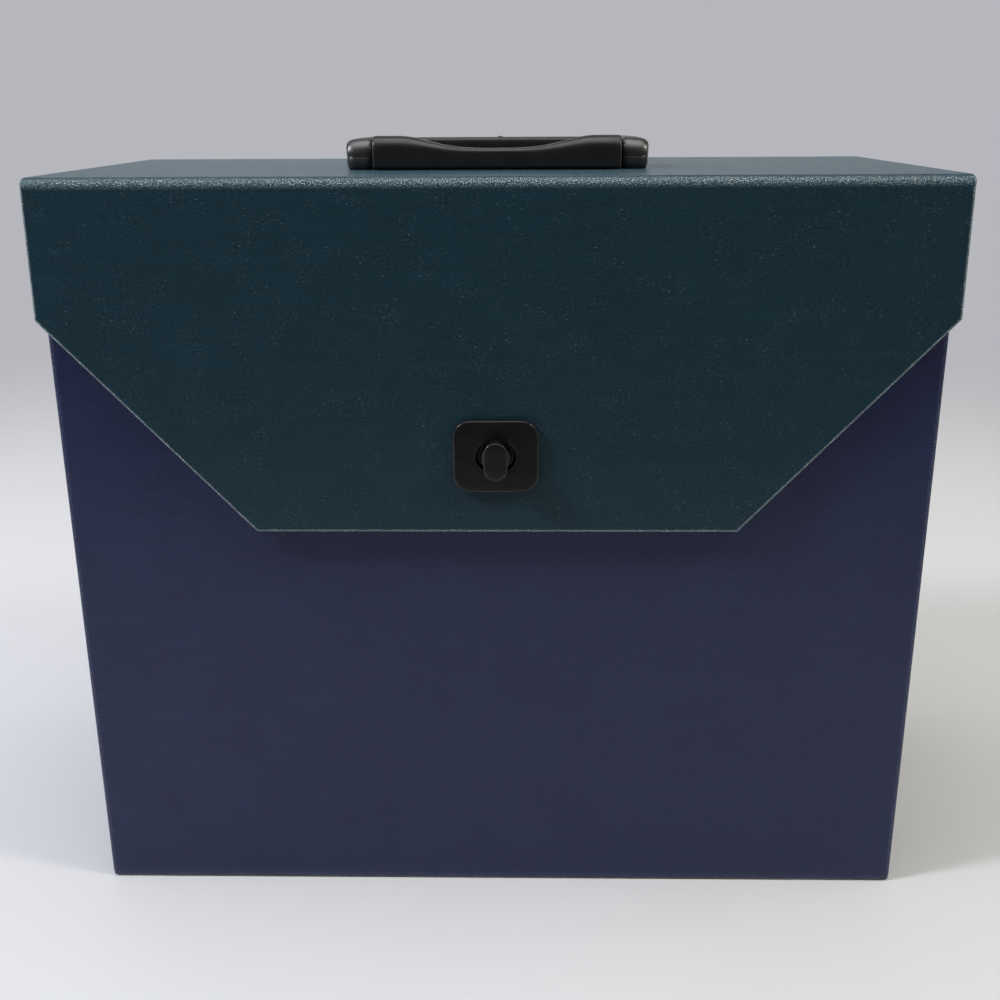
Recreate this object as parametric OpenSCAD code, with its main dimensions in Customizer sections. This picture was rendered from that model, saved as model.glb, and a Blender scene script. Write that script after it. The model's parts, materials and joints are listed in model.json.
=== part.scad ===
// Carrying case for 12-inch records.
// A covered board box with a top panel, a front flap that folds down from it,
// a turn lock on the flap and a folding handle on the top.
// X runs to the right, Y to the back and Z up.
// The origin is the centre of the face that the case stands on.

/* [Case] */
// Height from the floor to the outside of the top panel
case_h = 330; // [300:1:360]
// Width of the body over its cover
body_w = 376; // [340:1:420]
// Depth of the body over its cover
body_d = 176; // [120:1:220]
// How far the top panel stands out past each side of the body
lid_overhang = 3; // [1:0.5:6]
// Radius of the two lower corners of the body, seen from the front
bottom_corner_r = 2.5; // [1.5:0.5:6]

/* [Boards and papers] */
// Thickness of the boards of the body
board_t = 3; // [2:0.5:5]
// Thickness of the boards of the top panel and the flap
lid_board_t = 2.4; // [1.6:0.2:4]
// Thickness of the grained covering
cover_t = 0.4; // [0.3:0.1:0.8]
// Thickness of the paper lining
lining_t = 0.4; // [0.3:0.1:0.8]
// Width of the covering that is turned in over a board's edge
turn_in = 14; // [8:1:25]
// Rounding of the covering where it turns over a board's edge
edge_r = 0.9; // [0.7:0.1:1.5]
// Height of the strip that hinges the top panel, on the outside of the back
hinge_strip_h = 46; // [25:1:90]
// How far the hinge strip ends short of each side of the body
hinge_strip_inset = 2; // [0.5:0.5:10]

/* [Flap] */
// Length of the flap, from the outside of the top panel to its lower edge
flap_h = 149; // [110:1:180]
// Height of the flap's straight sides, from the outside of the top panel
flap_side_h = 57.5; // [30:0.5:100]
// Width of the flap's lower edge
flap_bottom_w = 208; // [120:1:300]
// Outer radius of the fold between the top panel and the flap
fold_r = 5; // [4:0.5:8]
// Thickness of the fold: the covering and its lining, glued together
fold_t = 0.8; // [0.6:0.1:1.2]
// Angle by which the closed flap stands off the upright
flap_lean = 1.5; // [0.5:0.1:3]
// Gap between the body and the flap at the fold
flap_gap = 0.3; // [0.2:0.1:1]

/* [Turn lock] */
// Height of the turn lock's axis below the outside of the top panel
lock_drop = 114.6; // [95:0.1:130]
// Width of the lock plate
plate_w = 36.4; // [34:0.1:46]
// Height of the lock plate
plate_h = 31.2; // [29:0.1:40]
// Thickness of the lock plate
plate_t = 3; // [2.4:0.1:4]
// Corner radius of the lock plate
plate_r = 6; // [3:0.5:9]
// Rounding of the lock plate's front edge
plate_edge_r = 1.2; // [0.6:0.1:2]
// Width of the hole in the lock plate
hole_w = 18.6; // [18:0.1:22]
// Height of the hole in the lock plate
hole_h = 15.4; // [14.8:0.1:16.4]
// Length of the knob's grip
knob_l = 17; // [16.6:0.1:17.6]
// Width of the knob's grip
knob_w = 9.8; // [7:0.1:11]
// Depth of the knob's grip
knob_depth = 6.4; // [4:0.1:9]
// Rounding of the knob's front edge
knob_edge_r = 1.4; // [0.5:0.1:2]
// Diameter of the collar that carries the knob in the hole
collar_d = 12; // [8:0.5:14]
// Diameter of the knob's spindle
spindle_d = 5; // [3:0.5:6]
// Gap between the knob's grip and the lock plate
knob_gap = 1.6; // [1.2:0.1:3]
// Width of the boss on the lock base
boss_w = 16.4; // [13:0.1:18]
// Height of the boss on the lock base
boss_h = 13.2; // [10:0.1:14.4]
// Width of the lock base's flange
base_w = 27; // [26:0.5:34]
// Height of the lock base's flange
base_h = 21; // [16:0.5:26]
// Thickness of the lock base's flange
base_t = 1.5; // [1.2:0.1:1.7]
// Thickness of the steel plates and washers
steel_t = 0.6; // [0.5:0.1:1]

/* [Handle] */
// Length of the swinging bail
bail_l = 106; // [90:0.5:120]
// Distance from the handle's axis to the front of the grip
grip_reach = 42; // [36:0.5:55]
// Thickness of the grip from front to back
grip_d = 13; // [10:0.5:16]
// Height of the grip's ends
grip_h = 14; // [13:0.1:18]
// Depth of the scoop along the top of the grip
scoop_depth = 5.3; // [2:0.1:7]
// Half the width of the scoop
scoop_half_w = 43; // [25:1:46]
// Width of the arms that join the grip to the hinge bar
arm_w = 11; // [8:0.5:14]
// Radius of the hinge bar
bar_r = 6; // [5:0.1:6.5]
// Height of the handle's axis above the top panel
axis_h = 6.9; // [6.9:0.1:9]
// Height of the end posts
post_h = 13.4; // [12.6:0.1:17]
// Length of the end posts from front to back
post_l = 45; // [38:0.5:52]
// Width of the end posts
post_w = 12.2; // [9.8:0.1:16]
// How far the end posts reach behind the handle's axis
post_back = 9; // [7:0.5:12]
// Height of the posts' lower halves
post_base_h = 5.6; // [5:0.1:6]
// Gap between the posts and the ends of the bail
post_gap = 1.4; // [0.8:0.1:2.5]
// Diameter of the steel pins on which the handle swings
pin_d = 3; // [2:0.5:4]
// Diameter of the screws that hold the handle
screw_d = 3.4; // [2.4:0.2:4]
// How far the steel plate under the handle runs past the screws at each side
backing_side = 10.2; // [6:0.1:30]
// How far the steel plate under the handle runs past the screws at the front and back
backing_end = 18; // [6:0.5:26]

/* [Hidden] */
$fn = 48;

NAVY = [0.14, 0.14, 0.27];
GREEN = [0.09, 0.22, 0.24];
BLACK = [0.08, 0.08, 0.085];
STEEL = [0.62, 0.63, 0.65];
BOARD = [0.55, 0.50, 0.42];
PAPER = [0.12, 0.12, 0.13];

past = 0.5;            // how far a cutting shape runs past what it cuts
shaft_clearance = 0.1; // radial clearance of a shaft or shank in its hole
flat_clearance = 0.3;  // gap between flat faces that slide past each other

// The body and the top panel
lid_t = cover_t + lid_board_t + lining_t;
rim_z = case_h - lid_t;
wall_t = cover_t + board_t + lining_t;
floor_z = cover_t + board_t;
body_front_y = -body_d / 2;
body_back_y = body_d / 2;
lid_w = body_w + 2 * lid_overhang;
lid_back_y = body_back_y + cover_t;
flap_front_y = body_front_y - flap_gap - lid_t;

// The fold: its centre line, and the hinge line on its outer surface
fold_y = flap_front_y + fold_r;
fold_z = case_h - fold_r;
fold_split = 45;

// The lock's axis, and the faces that it passes through, from the front
lock_z = case_h - lock_drop;
lock_off = flap_gap + (fold_z - lock_z) * tan(flap_lean);
flap_face_at_lock = lock_off + lid_t / cos(flap_lean);
plate_face = flap_face_at_lock + plate_t;
boss_top = flap_face_at_lock - flat_clearance;
knob_back = plate_face + knob_gap;
board_hole_extra = 3.4;
lock_drop_on_flap = (fold_z - lock_z) / cos(flap_lean) + fold_r * tan(flap_lean);
base_rivet_x = base_w / 2 - 2.6;
base_rivet_r = 1.2;
base_rivet_head_r = 1.9;
base_rivet_head_t = 0.7;
plate_rivet_x = plate_w / 2 - 4.6;
plate_rivet_z = plate_h / 2 - 4.4;
plate_rivet_r = 1.1;
plate_rivet_head_r = 1.8;
plate_rivet_head_t = 0.5;
plate_rivet_depth = 1.6;
inner_plate_w = base_w + 5;
inner_plate_h = base_h + 3;
retainer_r = spindle_d / 2 + 2.6;
retainer_t = 1;

// The handle, with its axis over the middle of the top panel
handle_y = (flap_front_y + lid_back_y) / 2;
handle_z = case_h + axis_h;
grip_lift = flat_clearance;
post_x = bail_l / 2 + post_gap;
post_front = post_l - post_back;
post_mid_x = post_x + post_w / 2;
screw_front_y = -post_front + 9;
screw_back_y = -11;
screw_depth = post_base_h - 1.2;
screw_head_r = screw_d;
screw_head_t = 1.4;
backing_t = 1;
backing_w = 2 * (post_mid_x + backing_side);
backing_d = screw_back_y - screw_front_y + 2 * backing_end;
pin_in_bail = 9;
ear_t = 3.6;
ear_r = pin_d / 2 + 1.4;
shell_t = 1.4;

// ---- Shapes that more than one piece uses ----

// A rectangle with round corners, centred
module rounded_rect(w, h, r) {
    square([w - 2 * r, h], center = true);
    square([w, h - 2 * r], center = true);
    for (x = [-1, 1], y = [-1, 1])
        translate([x * (w / 2 - r), y * (h / 2 - r)]) circle(r);
}

// A slot shape with round ends, centred, longer along its first axis
module stadium(l, w) {
    square([l - w, w], center = true);
    for (x = [-1, 1]) translate([x * (l - w) / 2, 0]) circle(w / 2);
}

// Extrudes a drawing of (y, z) along X, centred
module across(w) {
    rotate([90, 0, 90]) linear_extrude(w, center = true) children();
}

// Extrudes a drawing of (x, z) along Y, from y0 back to y1
module front_to_back(y0, y1) {
    translate([0, y1, 0]) rotate([90, 0, 0]) linear_extrude(y1 - y0) children();
}

// A block given by its lowest and highest corners
module block(low, high) {
    translate(low) cube(high - low);
}

// A round bar along Y, from y0 back to y1
module bar_y(r, y0, y1) {
    translate([0, y1, 0]) rotate([90, 0, 0]) cylinder(r = r, h = y1 - y0);
}

// ---- The body ----

// The body's block, drawn in by e on its sides and its floor
module body_block(e, top) {
    r = bottom_corner_r - e;
    w = body_w - 2 * e;
    intersection() {
        front_to_back(body_front_y + e, body_back_y - e) {
            translate([-w / 2 + r, e]) square([w - 2 * r, top - e]);
            translate([-w / 2, e + r]) square([w, top - e - r]);
            for (s = [-1, 1]) translate([s * (w / 2 - r), e + r]) circle(r);
        }
        translate([0, 0, e])
            linear_extrude(top - e) rounded_rect(w, body_d - 2 * e, max(edge_r - e, 0.3));
    }
}

// Holes on the lock's axis through the front of the body
module lock_holes() {
    depth = wall_t + past;
    translate([0, body_front_y, lock_z]) {
        bar_y(spindle_d / 2 + shaft_clearance, -past, depth);
        for (s = [-1, 1])
            translate([s * base_rivet_x, 0, 0]) bar_y(base_rivet_r + shaft_clearance, -past, depth);
    }
}

module bottom_cover() {
    color(NAVY) intersection() {
        body_block(0, rim_z);
        block([-body_w, -body_d, 0], [body_w, body_d, cover_t]);
    }
}

module bottom_board() {
    color(BOARD) body_block(cover_t, floor_z);
}

// A board across the front or the back, with its outer face at y0
module cross_board(y0) {
    w = body_w - 2 * cover_t;
    block([-w / 2, y0, floor_z], [w / 2, y0 + board_t, rim_z - cover_t]);
}

module front_board() {
    color(BOARD) difference() {
        cross_board(body_front_y + cover_t);
        lock_holes();
    }
}

module back_board() {
    color(BOARD) cross_board(body_back_y - cover_t - board_t);
}

module side_board(side) {
    y = body_d / 2 - cover_t - board_t;
    x = body_w / 2 - cover_t - board_t / 2;
    color(BOARD) translate([side * x, 0, 0])
        block([-board_t / 2, -y, floor_z], [board_t / 2, y, rim_z - cover_t]);
}

module body_cover() {
    inner_w = body_w - 2 * wall_t;
    inner_d = body_d - 2 * wall_t;
    color(NAVY) difference() {
        body_block(0, rim_z);
        block([-body_w, -body_d, -past], [body_w, body_d, cover_t]);
        difference() {
            body_board_space();
            block([-body_w, -body_d, rim_z - cover_t], [body_w, body_d, rim_z + past]);
        }
        block([-inner_w / 2, -inner_d / 2, 0], [inner_w / 2, inner_d / 2, rim_z + past]);
        lock_holes();
    }
}

// The space of the boards and, below the turned-in cover, of the lining
module body_board_space() {
    w = body_w - 2 * cover_t;
    d = body_d - 2 * cover_t;
    face_w = w - 2 * board_t;
    face_d = d - 2 * board_t;
    difference() {
        block([-w / 2, -d / 2, 0], [w / 2, d / 2, rim_z]);
        block([-face_w / 2, -face_d / 2, rim_z - turn_in], [face_w / 2, face_d / 2, rim_z + past]);
    }
}

module wall_lining() {
    w = body_w - 2 * (cover_t + board_t);
    d = body_d - 2 * (cover_t + board_t);
    color(PAPER) difference() {
        block([-w / 2, -d / 2, floor_z], [w / 2, d / 2, rim_z - turn_in]);
        block([-w / 2 + lining_t, -d / 2 + lining_t, 0], [w / 2 - lining_t, d / 2 - lining_t, rim_z]);
        lock_holes();
    }
}

module floor_lining() {
    w = body_w - 2 * wall_t;
    d = body_d - 2 * wall_t;
    color(PAPER) block([-w / 2, -d / 2, floor_z], [w / 2, d / 2, floor_z + lining_t]);
}

module back_hinge_strip() {
    w = body_w - 2 * (hinge_strip_inset + edge_r);
    color(GREEN)
        block([-w / 2, body_back_y, rim_z - hinge_strip_h], [w / 2, lid_back_y, rim_z]);
}

// ---- The top panel ----

// The panel's slab, drawn in by e on its outer faces
module lid_slab(e) {
    w = lid_w - 2 * e;
    r = max(edge_r - e, 0.3);
    z0 = rim_z + e;
    z1 = case_h - e;
    y1 = lid_back_y - e;
    intersection() {
        front_to_back(fold_y, y1)
            translate([0, (z0 + z1) / 2]) rounded_rect(w, z1 - z0, r);
        across(lid_w) {
            translate([fold_y, z0]) square([y1 - r - fold_y, z1 - z0]);
            translate([fold_y, z0]) square([y1 - fold_y, z1 - z0 - r]);
            translate([y1 - r, z1 - r]) circle(r);
        }
    }
}

// Holes for the handle's screws
module screw_holes(z0, z1) {
    for (x = [-post_mid_x, post_mid_x], y = [screw_front_y, screw_back_y])
        translate([x, handle_y + y, z0])
            cylinder(r = screw_d / 2 + shaft_clearance, h = z1 - z0);
}

module top_board_space() {
    w = lid_w - 2 * cover_t;
    block([-w / 2, fold_y - past, rim_z + cover_t], [w / 2, lid_back_y - cover_t, case_h - cover_t]);
}

module top_board() {
    color(BOARD) difference() {
        intersection() {
            top_board_space();
            block([-lid_w, fold_y, 0], [lid_w, lid_back_y, case_h]);
        }
        screw_holes(rim_z, case_h);
    }
}

// The paper inside the panel, between the turned-in edges
module top_lining_space(run) {
    w = lid_w - 2 * turn_in;
    block([-w / 2, fold_y - run, rim_z - run], [w / 2, lid_back_y - turn_in, rim_z + lining_t]);
}

// A strip of the fold, from angle a0 to a1 above the front of its centre line
module fold_strip(a0, a1) {
    reach = 2 * fold_r;
    across(lid_w) intersection() {
        difference() {
            circle(fold_r);
            circle(fold_r - fold_t);
        }
        polygon([
            [0, 0],
            [-reach * cos(a0), reach * sin(a0)],
            [-reach * cos((a0 + a1) / 2), reach * sin((a0 + a1) / 2)],
            [-reach * cos(a1), reach * sin(a1)]
        ]);
    }
}

module top_cover() {
    color(GREEN) {
        difference() {
            lid_slab(0);
            top_board_space();
            top_lining_space(past);
            screw_holes(rim_z - past, case_h + past);
        }
        translate([0, fold_y, fold_z]) fold_strip(fold_split, 90);
    }
}

module top_lining() {
    color(PAPER) difference() {
        top_lining_space(0);
        screw_holes(rim_z - past, case_h);
    }
}

// ---- The flap ----

// The flap's own frame: the fold's centre line, tilted to the flap's lean
module flap_frame() {
    translate([0, fold_y, fold_z]) rotate([-flap_lean, 0, 0]) children();
}

// The flap's outline from its fold down, drawn in by e on its free edges
module flap_outline(e) {
    side = flap_side_h - fold_r;
    drop = flap_h - fold_r;
    half = lid_w / 2;
    slope = atan((half - flap_bottom_w / 2) / (drop - side));
    corner = side - e * tan(slope / 2);
    foot = half - (drop - e - side) * tan(slope) - e / cos(slope);
    polygon([
        [-half + e, 0], [half - e, 0], [half - e, -corner],
        [foot, -drop + e], [-foot, -drop + e], [-half + e, -corner]
    ]);
}

// A sheet of the flap: its outline drawn in by e, between two depths from its outer face
module flap_sheet(e, d0, d1) {
    front_to_back(-fold_r + d0, -fold_r + d1) flap_outline(e);
}

// The hole for the lock's boss through the flap
module flap_lock_hole() {
    translate([0, 0, -lock_drop_on_flap])
        front_to_back(-fold_r - past, -fold_r + lid_t + past)
            stadium(hole_w + board_hole_extra, hole_h + board_hole_extra);
}

// The four rivets' shanks through the flap, drawn at radius r between two depths
module plate_rivet_shanks(r, d0, d1) {
    for (x = [-1, 1], z = [-1, 1])
        translate([x * plate_rivet_x, -fold_r, z * plate_rivet_z - lock_drop_on_flap]) bar_y(r, d0, d1);
}

module flap_hardware_holes() {
    flap_lock_hole();
    plate_rivet_shanks(plate_rivet_r + shaft_clearance, -past, lid_t + past);
}

module flap_board() {
    color(BOARD) flap_frame() difference() {
        flap_sheet(cover_t, cover_t, cover_t + lid_board_t);
        flap_hardware_holes();
    }
}

module flap_cover() {
    color(GREEN) flap_frame() {
        difference() {
            flap_sheet(0, 0, lid_t);
            flap_sheet_open(cover_t, cover_t, cover_t + lid_board_t);
            flap_sheet_open(turn_in, lid_t - lining_t, lid_t + past);
            flap_hardware_holes();
        }
        fold_strip(0, fold_split - flap_lean);
        fold_joint();
    }
}

// Where the covering runs on from the flap's sheet into the fold
module fold_joint() {
    block([-lid_w / 2, -fold_r + cover_t / 4, -cover_t], [lid_w / 2, -fold_r + cover_t, cover_t]);
}

// A sheet of the flap that also runs out past the fold, to cut with
module flap_sheet_open(e, d0, d1) {
    flap_sheet(e, d0, d1);
    block([-lid_w / 2 + e, -fold_r + d0, -past], [lid_w / 2 - e, -fold_r + d1, past]);
}

module flap_lining() {
    color(PAPER) flap_frame() difference() {
        flap_sheet(turn_in, lid_t - lining_t, lid_t);
        flap_hardware_holes();
    }
}

// ---- The turn lock ----

// A plate that lies on Z = 0, with round corners and a rounded upper edge
module soft_plate(w, h, t, r, e) {
    hull() {
        for (x = [-1, 1], y = [-1, 1])
            translate([x * (w / 2 - r), y * (h / 2 - r), 0]) rotate_extrude($fn = 40) {
                square([r, t - e]);
                square([r - e, t]);
                translate([r - e, t - e]) intersection() {
                    circle(e, $fn = 24);
                    square(e);
                }
            }
    }
}

module lock_plate() {
    color(BLACK) flap_frame() difference() {
        translate([0, -fold_r, -lock_drop_on_flap]) rotate([90, 0, 0])
            soft_plate(plate_w, plate_h, plate_t, plate_r, plate_edge_r);
        translate([0, 0, -lock_drop_on_flap])
            front_to_back(-fold_r - plate_t - past, -fold_r + past) stadium(hole_w, hole_h);
        plate_rivet_shanks(plate_rivet_r + shaft_clearance, -plate_rivet_depth, past);
    }
}

module lock_back_washer() {
    color(STEEL) flap_frame() difference() {
        translate([0, 0, -lock_drop_on_flap])
            front_to_back(-fold_r + lid_t, -fold_r + lid_t + steel_t) difference() {
                rounded_rect(plate_w - 2, plate_h - 2, plate_r - 1);
                stadium(hole_w + board_hole_extra, hole_h + board_hole_extra);
            }
        plate_rivet_shanks(plate_rivet_r + shaft_clearance, 0, lid_t + steel_t + past);
    }
}

module lock_plate_rivets() {
    back = lid_t + steel_t;
    color(STEEL) flap_frame() {
        plate_rivet_shanks(plate_rivet_r, -plate_rivet_depth, back);
        plate_rivet_shanks(plate_rivet_head_r, back, back + plate_rivet_head_t);
    }
}

module lock_base() {
    color(BLACK) translate([0, body_front_y, lock_z]) difference() {
        union() {
            front_to_back(-base_t, 0) rounded_rect(base_w, base_h, plate_r - 2);
            front_to_back(-boss_top, -base_t) stadium(boss_w, boss_h);
        }
        bar_y(spindle_d / 2 + shaft_clearance, -boss_top - past, past);
        for (s = [-1, 1]) translate([s * base_rivet_x, 0, 0]) {
            bar_y(base_rivet_r + shaft_clearance, -base_t - past, past);
            bar_y(base_rivet_head_r + shaft_clearance, -base_t - past, -base_t + base_rivet_head_t);
        }
    }
}

module lock_base_rivets() {
    back = wall_t + steel_t;
    color(STEEL) translate([0, body_front_y, lock_z]) for (s = [-1, 1])
        translate([s * base_rivet_x, 0, 0]) {
            bar_y(base_rivet_head_r, -base_t, -base_t + base_rivet_head_t);
            bar_y(base_rivet_r, -base_t + base_rivet_head_t, back);
            bar_y(base_rivet_head_r, back, back + base_rivet_head_t);
        }
}

module lock_inner_plate() {
    color(STEEL) translate([0, body_front_y, lock_z]) difference() {
        front_to_back(wall_t, wall_t + steel_t)
            rounded_rect(inner_plate_w, inner_plate_h, plate_r - 2);
        bar_y(spindle_d / 2 + shaft_clearance, 0, wall_t + steel_t + past);
        for (s = [-1, 1])
            translate([s * base_rivet_x, 0, 0])
                bar_y(base_rivet_r + shaft_clearance, 0, wall_t + steel_t + past);
    }
}

module lock_spring_washer() {
    back = wall_t + steel_t;
    color(STEEL) translate([0, body_front_y + back, lock_z]) front_to_back(0, steel_t)
        difference() {
            circle(retainer_r + 0.8);
            circle(spindle_d / 2 + shaft_clearance);
        }
}

// The knob's grip, standing on Z = 0 and long along Y
module knob_grip() {
    r = knob_w / 2;
    half = (knob_l - knob_w) / 2;
    for (s = [-1, 1]) translate([0, s * half, 0]) rotate_extrude() knob_profile(r);
    rotate([90, 0, 0]) linear_extrude(2 * half, center = true) {
        knob_profile(r);
        mirror([1, 0]) knob_profile(r);
    }
}

// Half of the knob's section, with its front edge rounded
module knob_profile(r) {
    square([r, knob_depth - knob_edge_r]);
    square([r - knob_edge_r, knob_depth]);
    intersection() {
        translate([r - knob_edge_r, knob_depth - knob_edge_r]) circle(knob_edge_r);
        square([r, knob_depth]);
    }
}

module lock_knob() {
    color(BLACK) translate([0, body_front_y, lock_z]) difference() {
        union() {
            translate([0, -knob_back, 0]) rotate([90, 0, 0]) knob_grip();
            bar_y(collar_d / 2, -knob_back - past, -boss_top - shaft_clearance);
        }
        bar_y(spindle_d / 2, -knob_back - knob_depth / 2, past);
    }
}

module lock_spindle() {
    back = wall_t + 2 * steel_t + shaft_clearance + retainer_t;
    color(STEEL) translate([0, body_front_y, lock_z])
        bar_y(spindle_d / 2, -knob_back - knob_depth / 2, back);
}

module lock_retainer() {
    front = wall_t + 2 * steel_t + shaft_clearance;
    color(STEEL) translate([0, body_front_y + front, lock_z]) front_to_back(0, retainer_t)
        difference() {
            circle(retainer_r);
            circle(spindle_d / 2);
        }
}

// ---- The handle ----

// The handle's own frame: its axis over the middle of the top panel
module handle_frame() {
    translate([0, handle_y, case_h]) children();
}

// Everything of one end post is drawn on the right and mirrored to the left
module on_side(side) {
    if (side < 0) mirror([1, 0, 0]) children();
    else children();
}

module handle_base(side) {
    ear_x = post_x + shell_t + flat_clearance;
    color(BLACK) handle_frame() on_side(side) difference() {
        union() {
            translate([post_mid_x, post_back - post_l / 2, 0])
                linear_extrude(post_base_h) rounded_rect(post_w - 0.8, post_l - 0.8, 2.6);
            block([ear_x, -ear_r, post_base_h - past], [ear_x + ear_t, ear_r, axis_h]);
            translate([ear_x, 0, axis_h]) rotate([0, 90, 0]) cylinder(r = ear_r, h = ear_t);
        }
        pin_space(shaft_clearance / 2);
        for (y = [screw_front_y, screw_back_y])
            translate([post_mid_x, y, -past])
                cylinder(r = screw_d / 2 + shaft_clearance, h = screw_depth + past);
    }
}

// The space of one pin, with a radial clearance c
module pin_space(c) {
    ear_end = post_x + shell_t + flat_clearance + ear_t;
    translate([bail_l / 2 - pin_in_bail, 0, axis_h]) rotate([0, 90, 0])
        cylinder(r = pin_d / 2 + c, h = ear_end - bail_l / 2 + pin_in_bail);
}

module handle_cap(side) {
    notch_r = pin_d / 2 + flat_clearance;
    color(BLACK) handle_frame() on_side(side) difference() {
        post_shell();
        post_hollow();
        block([post_x - past, -notch_r, 0], [post_x + shell_t + past, notch_r, axis_h]);
        translate([post_x - past, 0, axis_h]) rotate([0, 90, 0])
            cylinder(r = notch_r, h = shell_t + 2 * past);
    }
}

// The outside of a post's cap: crowned, lower towards its outer side
module post_shell() {
    r = 2.6;
    crown = 1.6;
    y0 = -post_front + r;
    y1 = post_back - r;
    hull() {
        for (y = [y0, y1]) {
            for (x = [post_x + r, post_x + post_w - r])
                translate([x, y, post_base_h]) cylinder(r = r, h = 1, $fn = 32);
            translate([post_x + r, y, post_h - r]) sphere(r, $fn = 32);
            translate([post_x + post_w - r, y, post_h - r - crown]) sphere(r, $fn = 32);
        }
    }
}

module post_hollow() {
    top = axis_h + ear_r + flat_clearance;
    block(
        [post_x + shell_t, -post_front + shell_t + 1, post_base_h - past],
        [post_x + post_w - shell_t, post_back - shell_t - 1, top]
    );
}

module handle_pins() {
    color(STEEL) handle_frame() for (side = [-1, 1]) on_side(side) intersection() {
        pin_space(0);
        block([bail_l / 2 - pin_in_bail + flat_clearance, -pin_d, 0], [post_x + post_w, pin_d, 2 * axis_h]);
    }
}

// How far the scoop has dropped the grip's top at x, from 0 to 1
function scoop(x) = (1 + cos(180 * pow(min(1, abs(x) / scoop_half_w), 1.65))) / 2;

// A quarter of a round corner, about c with radius r, from angle a0
function corner(c, r, a0, n = 5) =
    [for (i = [0:n]) [c[0] + r * cos(a0 + 90 * i / n), c[1] + r * sin(a0 + 90 * i / n)]];

// The grip's outline at x in (y, z), drawn in by e
function grip_section(x, e) =
    let (
        y0 = -grip_reach + e,
        y1 = -grip_reach + grip_d - e,
        z0 = grip_lift + e,
        z1 = grip_lift + grip_h - scoop_depth * scoop(x) - e,
        foot_r = 2,
        back_r = 3,
        nose_r = 6.5 - 3 * scoop(x)
    )
    concat(
        corner([y1 - back_r, z1 - back_r], back_r, 0),
        corner([y0 + nose_r, z1 - nose_r], nose_r, 90),
        corner([y0 + foot_r, z0 + foot_r], foot_r, 180),
        corner([y1 - foot_r, z0 + foot_r], foot_r, 270)
    );

// A solid through rings of points that all have the same count
module loft(rings) {
    n = len(rings[0]);
    last = len(rings) - 1;
    points = [for (ring = rings, p = ring) p];
    sides = [for (k = [0:last - 1], i = [0:n - 1]) let (j = (i + 1) % n)
        each [
            [k * n + i, (k + 1) * n + i, (k + 1) * n + j],
            [k * n + i, (k + 1) * n + j, k * n + j]
        ]];
    caps = [[for (i = [0:n - 1]) i], [for (i = [n - 1:-1:0]) last * n + i]];
    polyhedron(points = points, faces = concat(sides, caps), convexity = 6);
}

module grip() {
    steps = 44;
    soft = 0.7;
    half = bail_l / 2;
    inner = half - soft;
    stations = concat(
        [[-half, soft]],
        [for (i = [0:steps]) [-inner + 2 * inner * i / steps, 0]],
        [[half, soft]]
    );
    loft([for (s = stations) [for (p = grip_section(s[0], s[1])) [s[0], p[0], p[1]]]]);
}

module handle_bail() {
    arm_x = bail_l / 2 - arm_w / 2;
    arm_front = -grip_reach + grip_d / 2;
    color(BLACK) handle_frame() difference() {
        union() {
            grip();
            translate([0, 0, axis_h]) rotate([0, 90, 0]) {
                cylinder(r = bar_r, h = bail_l - 0.6, center = true);
                cylinder(r = bar_r - 1.4, h = 2 * (post_x - flat_clearance), center = true);
            }
            for (s = [-1, 1]) translate([s * arm_x, 0, 0]) across(arm_w - 0.6) polygon([
                [arm_front, grip_lift + 0.6], [0, axis_h - bar_r],
                [0, axis_h + bar_r], [arm_front, grip_lift + grip_h - 0.4]
            ]);
        }
        for (side = [-1, 1]) on_side(side) pin_space(shaft_clearance);
    }
}

module handle_backing_plate() {
    color(STEEL) difference() {
        translate([0, handle_y + (screw_front_y + screw_back_y) / 2, rim_z - backing_t])
            linear_extrude(backing_t) rounded_rect(backing_w, backing_d, 4);
        screw_holes(rim_z - backing_t - past, rim_z + past);
    }
}

module handle_screws() {
    head_z = rim_z - backing_t;
    tip_z = case_h + screw_depth - 0.4;
    color(STEEL) for (x = [-post_mid_x, post_mid_x], y = [screw_front_y, screw_back_y])
        translate([x, handle_y + y, head_z]) {
            cylinder(r = screw_d / 2, h = tip_z - head_z);
            translate([0, 0, -screw_head_t]) cylinder(r = screw_head_r, h = screw_head_t);
        }
}

bottom_cover();
bottom_board();
front_board();
back_board();
side_board(-1);  // left_side_board
side_board(1);  // right_side_board
body_cover();
wall_lining();
floor_lining();
back_hinge_strip();
top_board();
top_cover();
top_lining();
flap_board();
flap_cover();
flap_lining();
lock_plate();
lock_back_washer();
lock_plate_rivets();
lock_base();
lock_base_rivets();
lock_inner_plate();
lock_spring_washer();
lock_knob();
lock_spindle();
lock_retainer();
handle_base(-1);  // handle_base_left
handle_base(1);  // handle_base_right
handle_cap(-1);  // handle_cap_left
handle_cap(1);  // handle_cap_right
handle_pins();
handle_bail();
handle_backing_plate();
handle_screws();
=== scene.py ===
import json
import math

import bmesh
import bpy
from mathutils import Matrix, Vector


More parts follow.
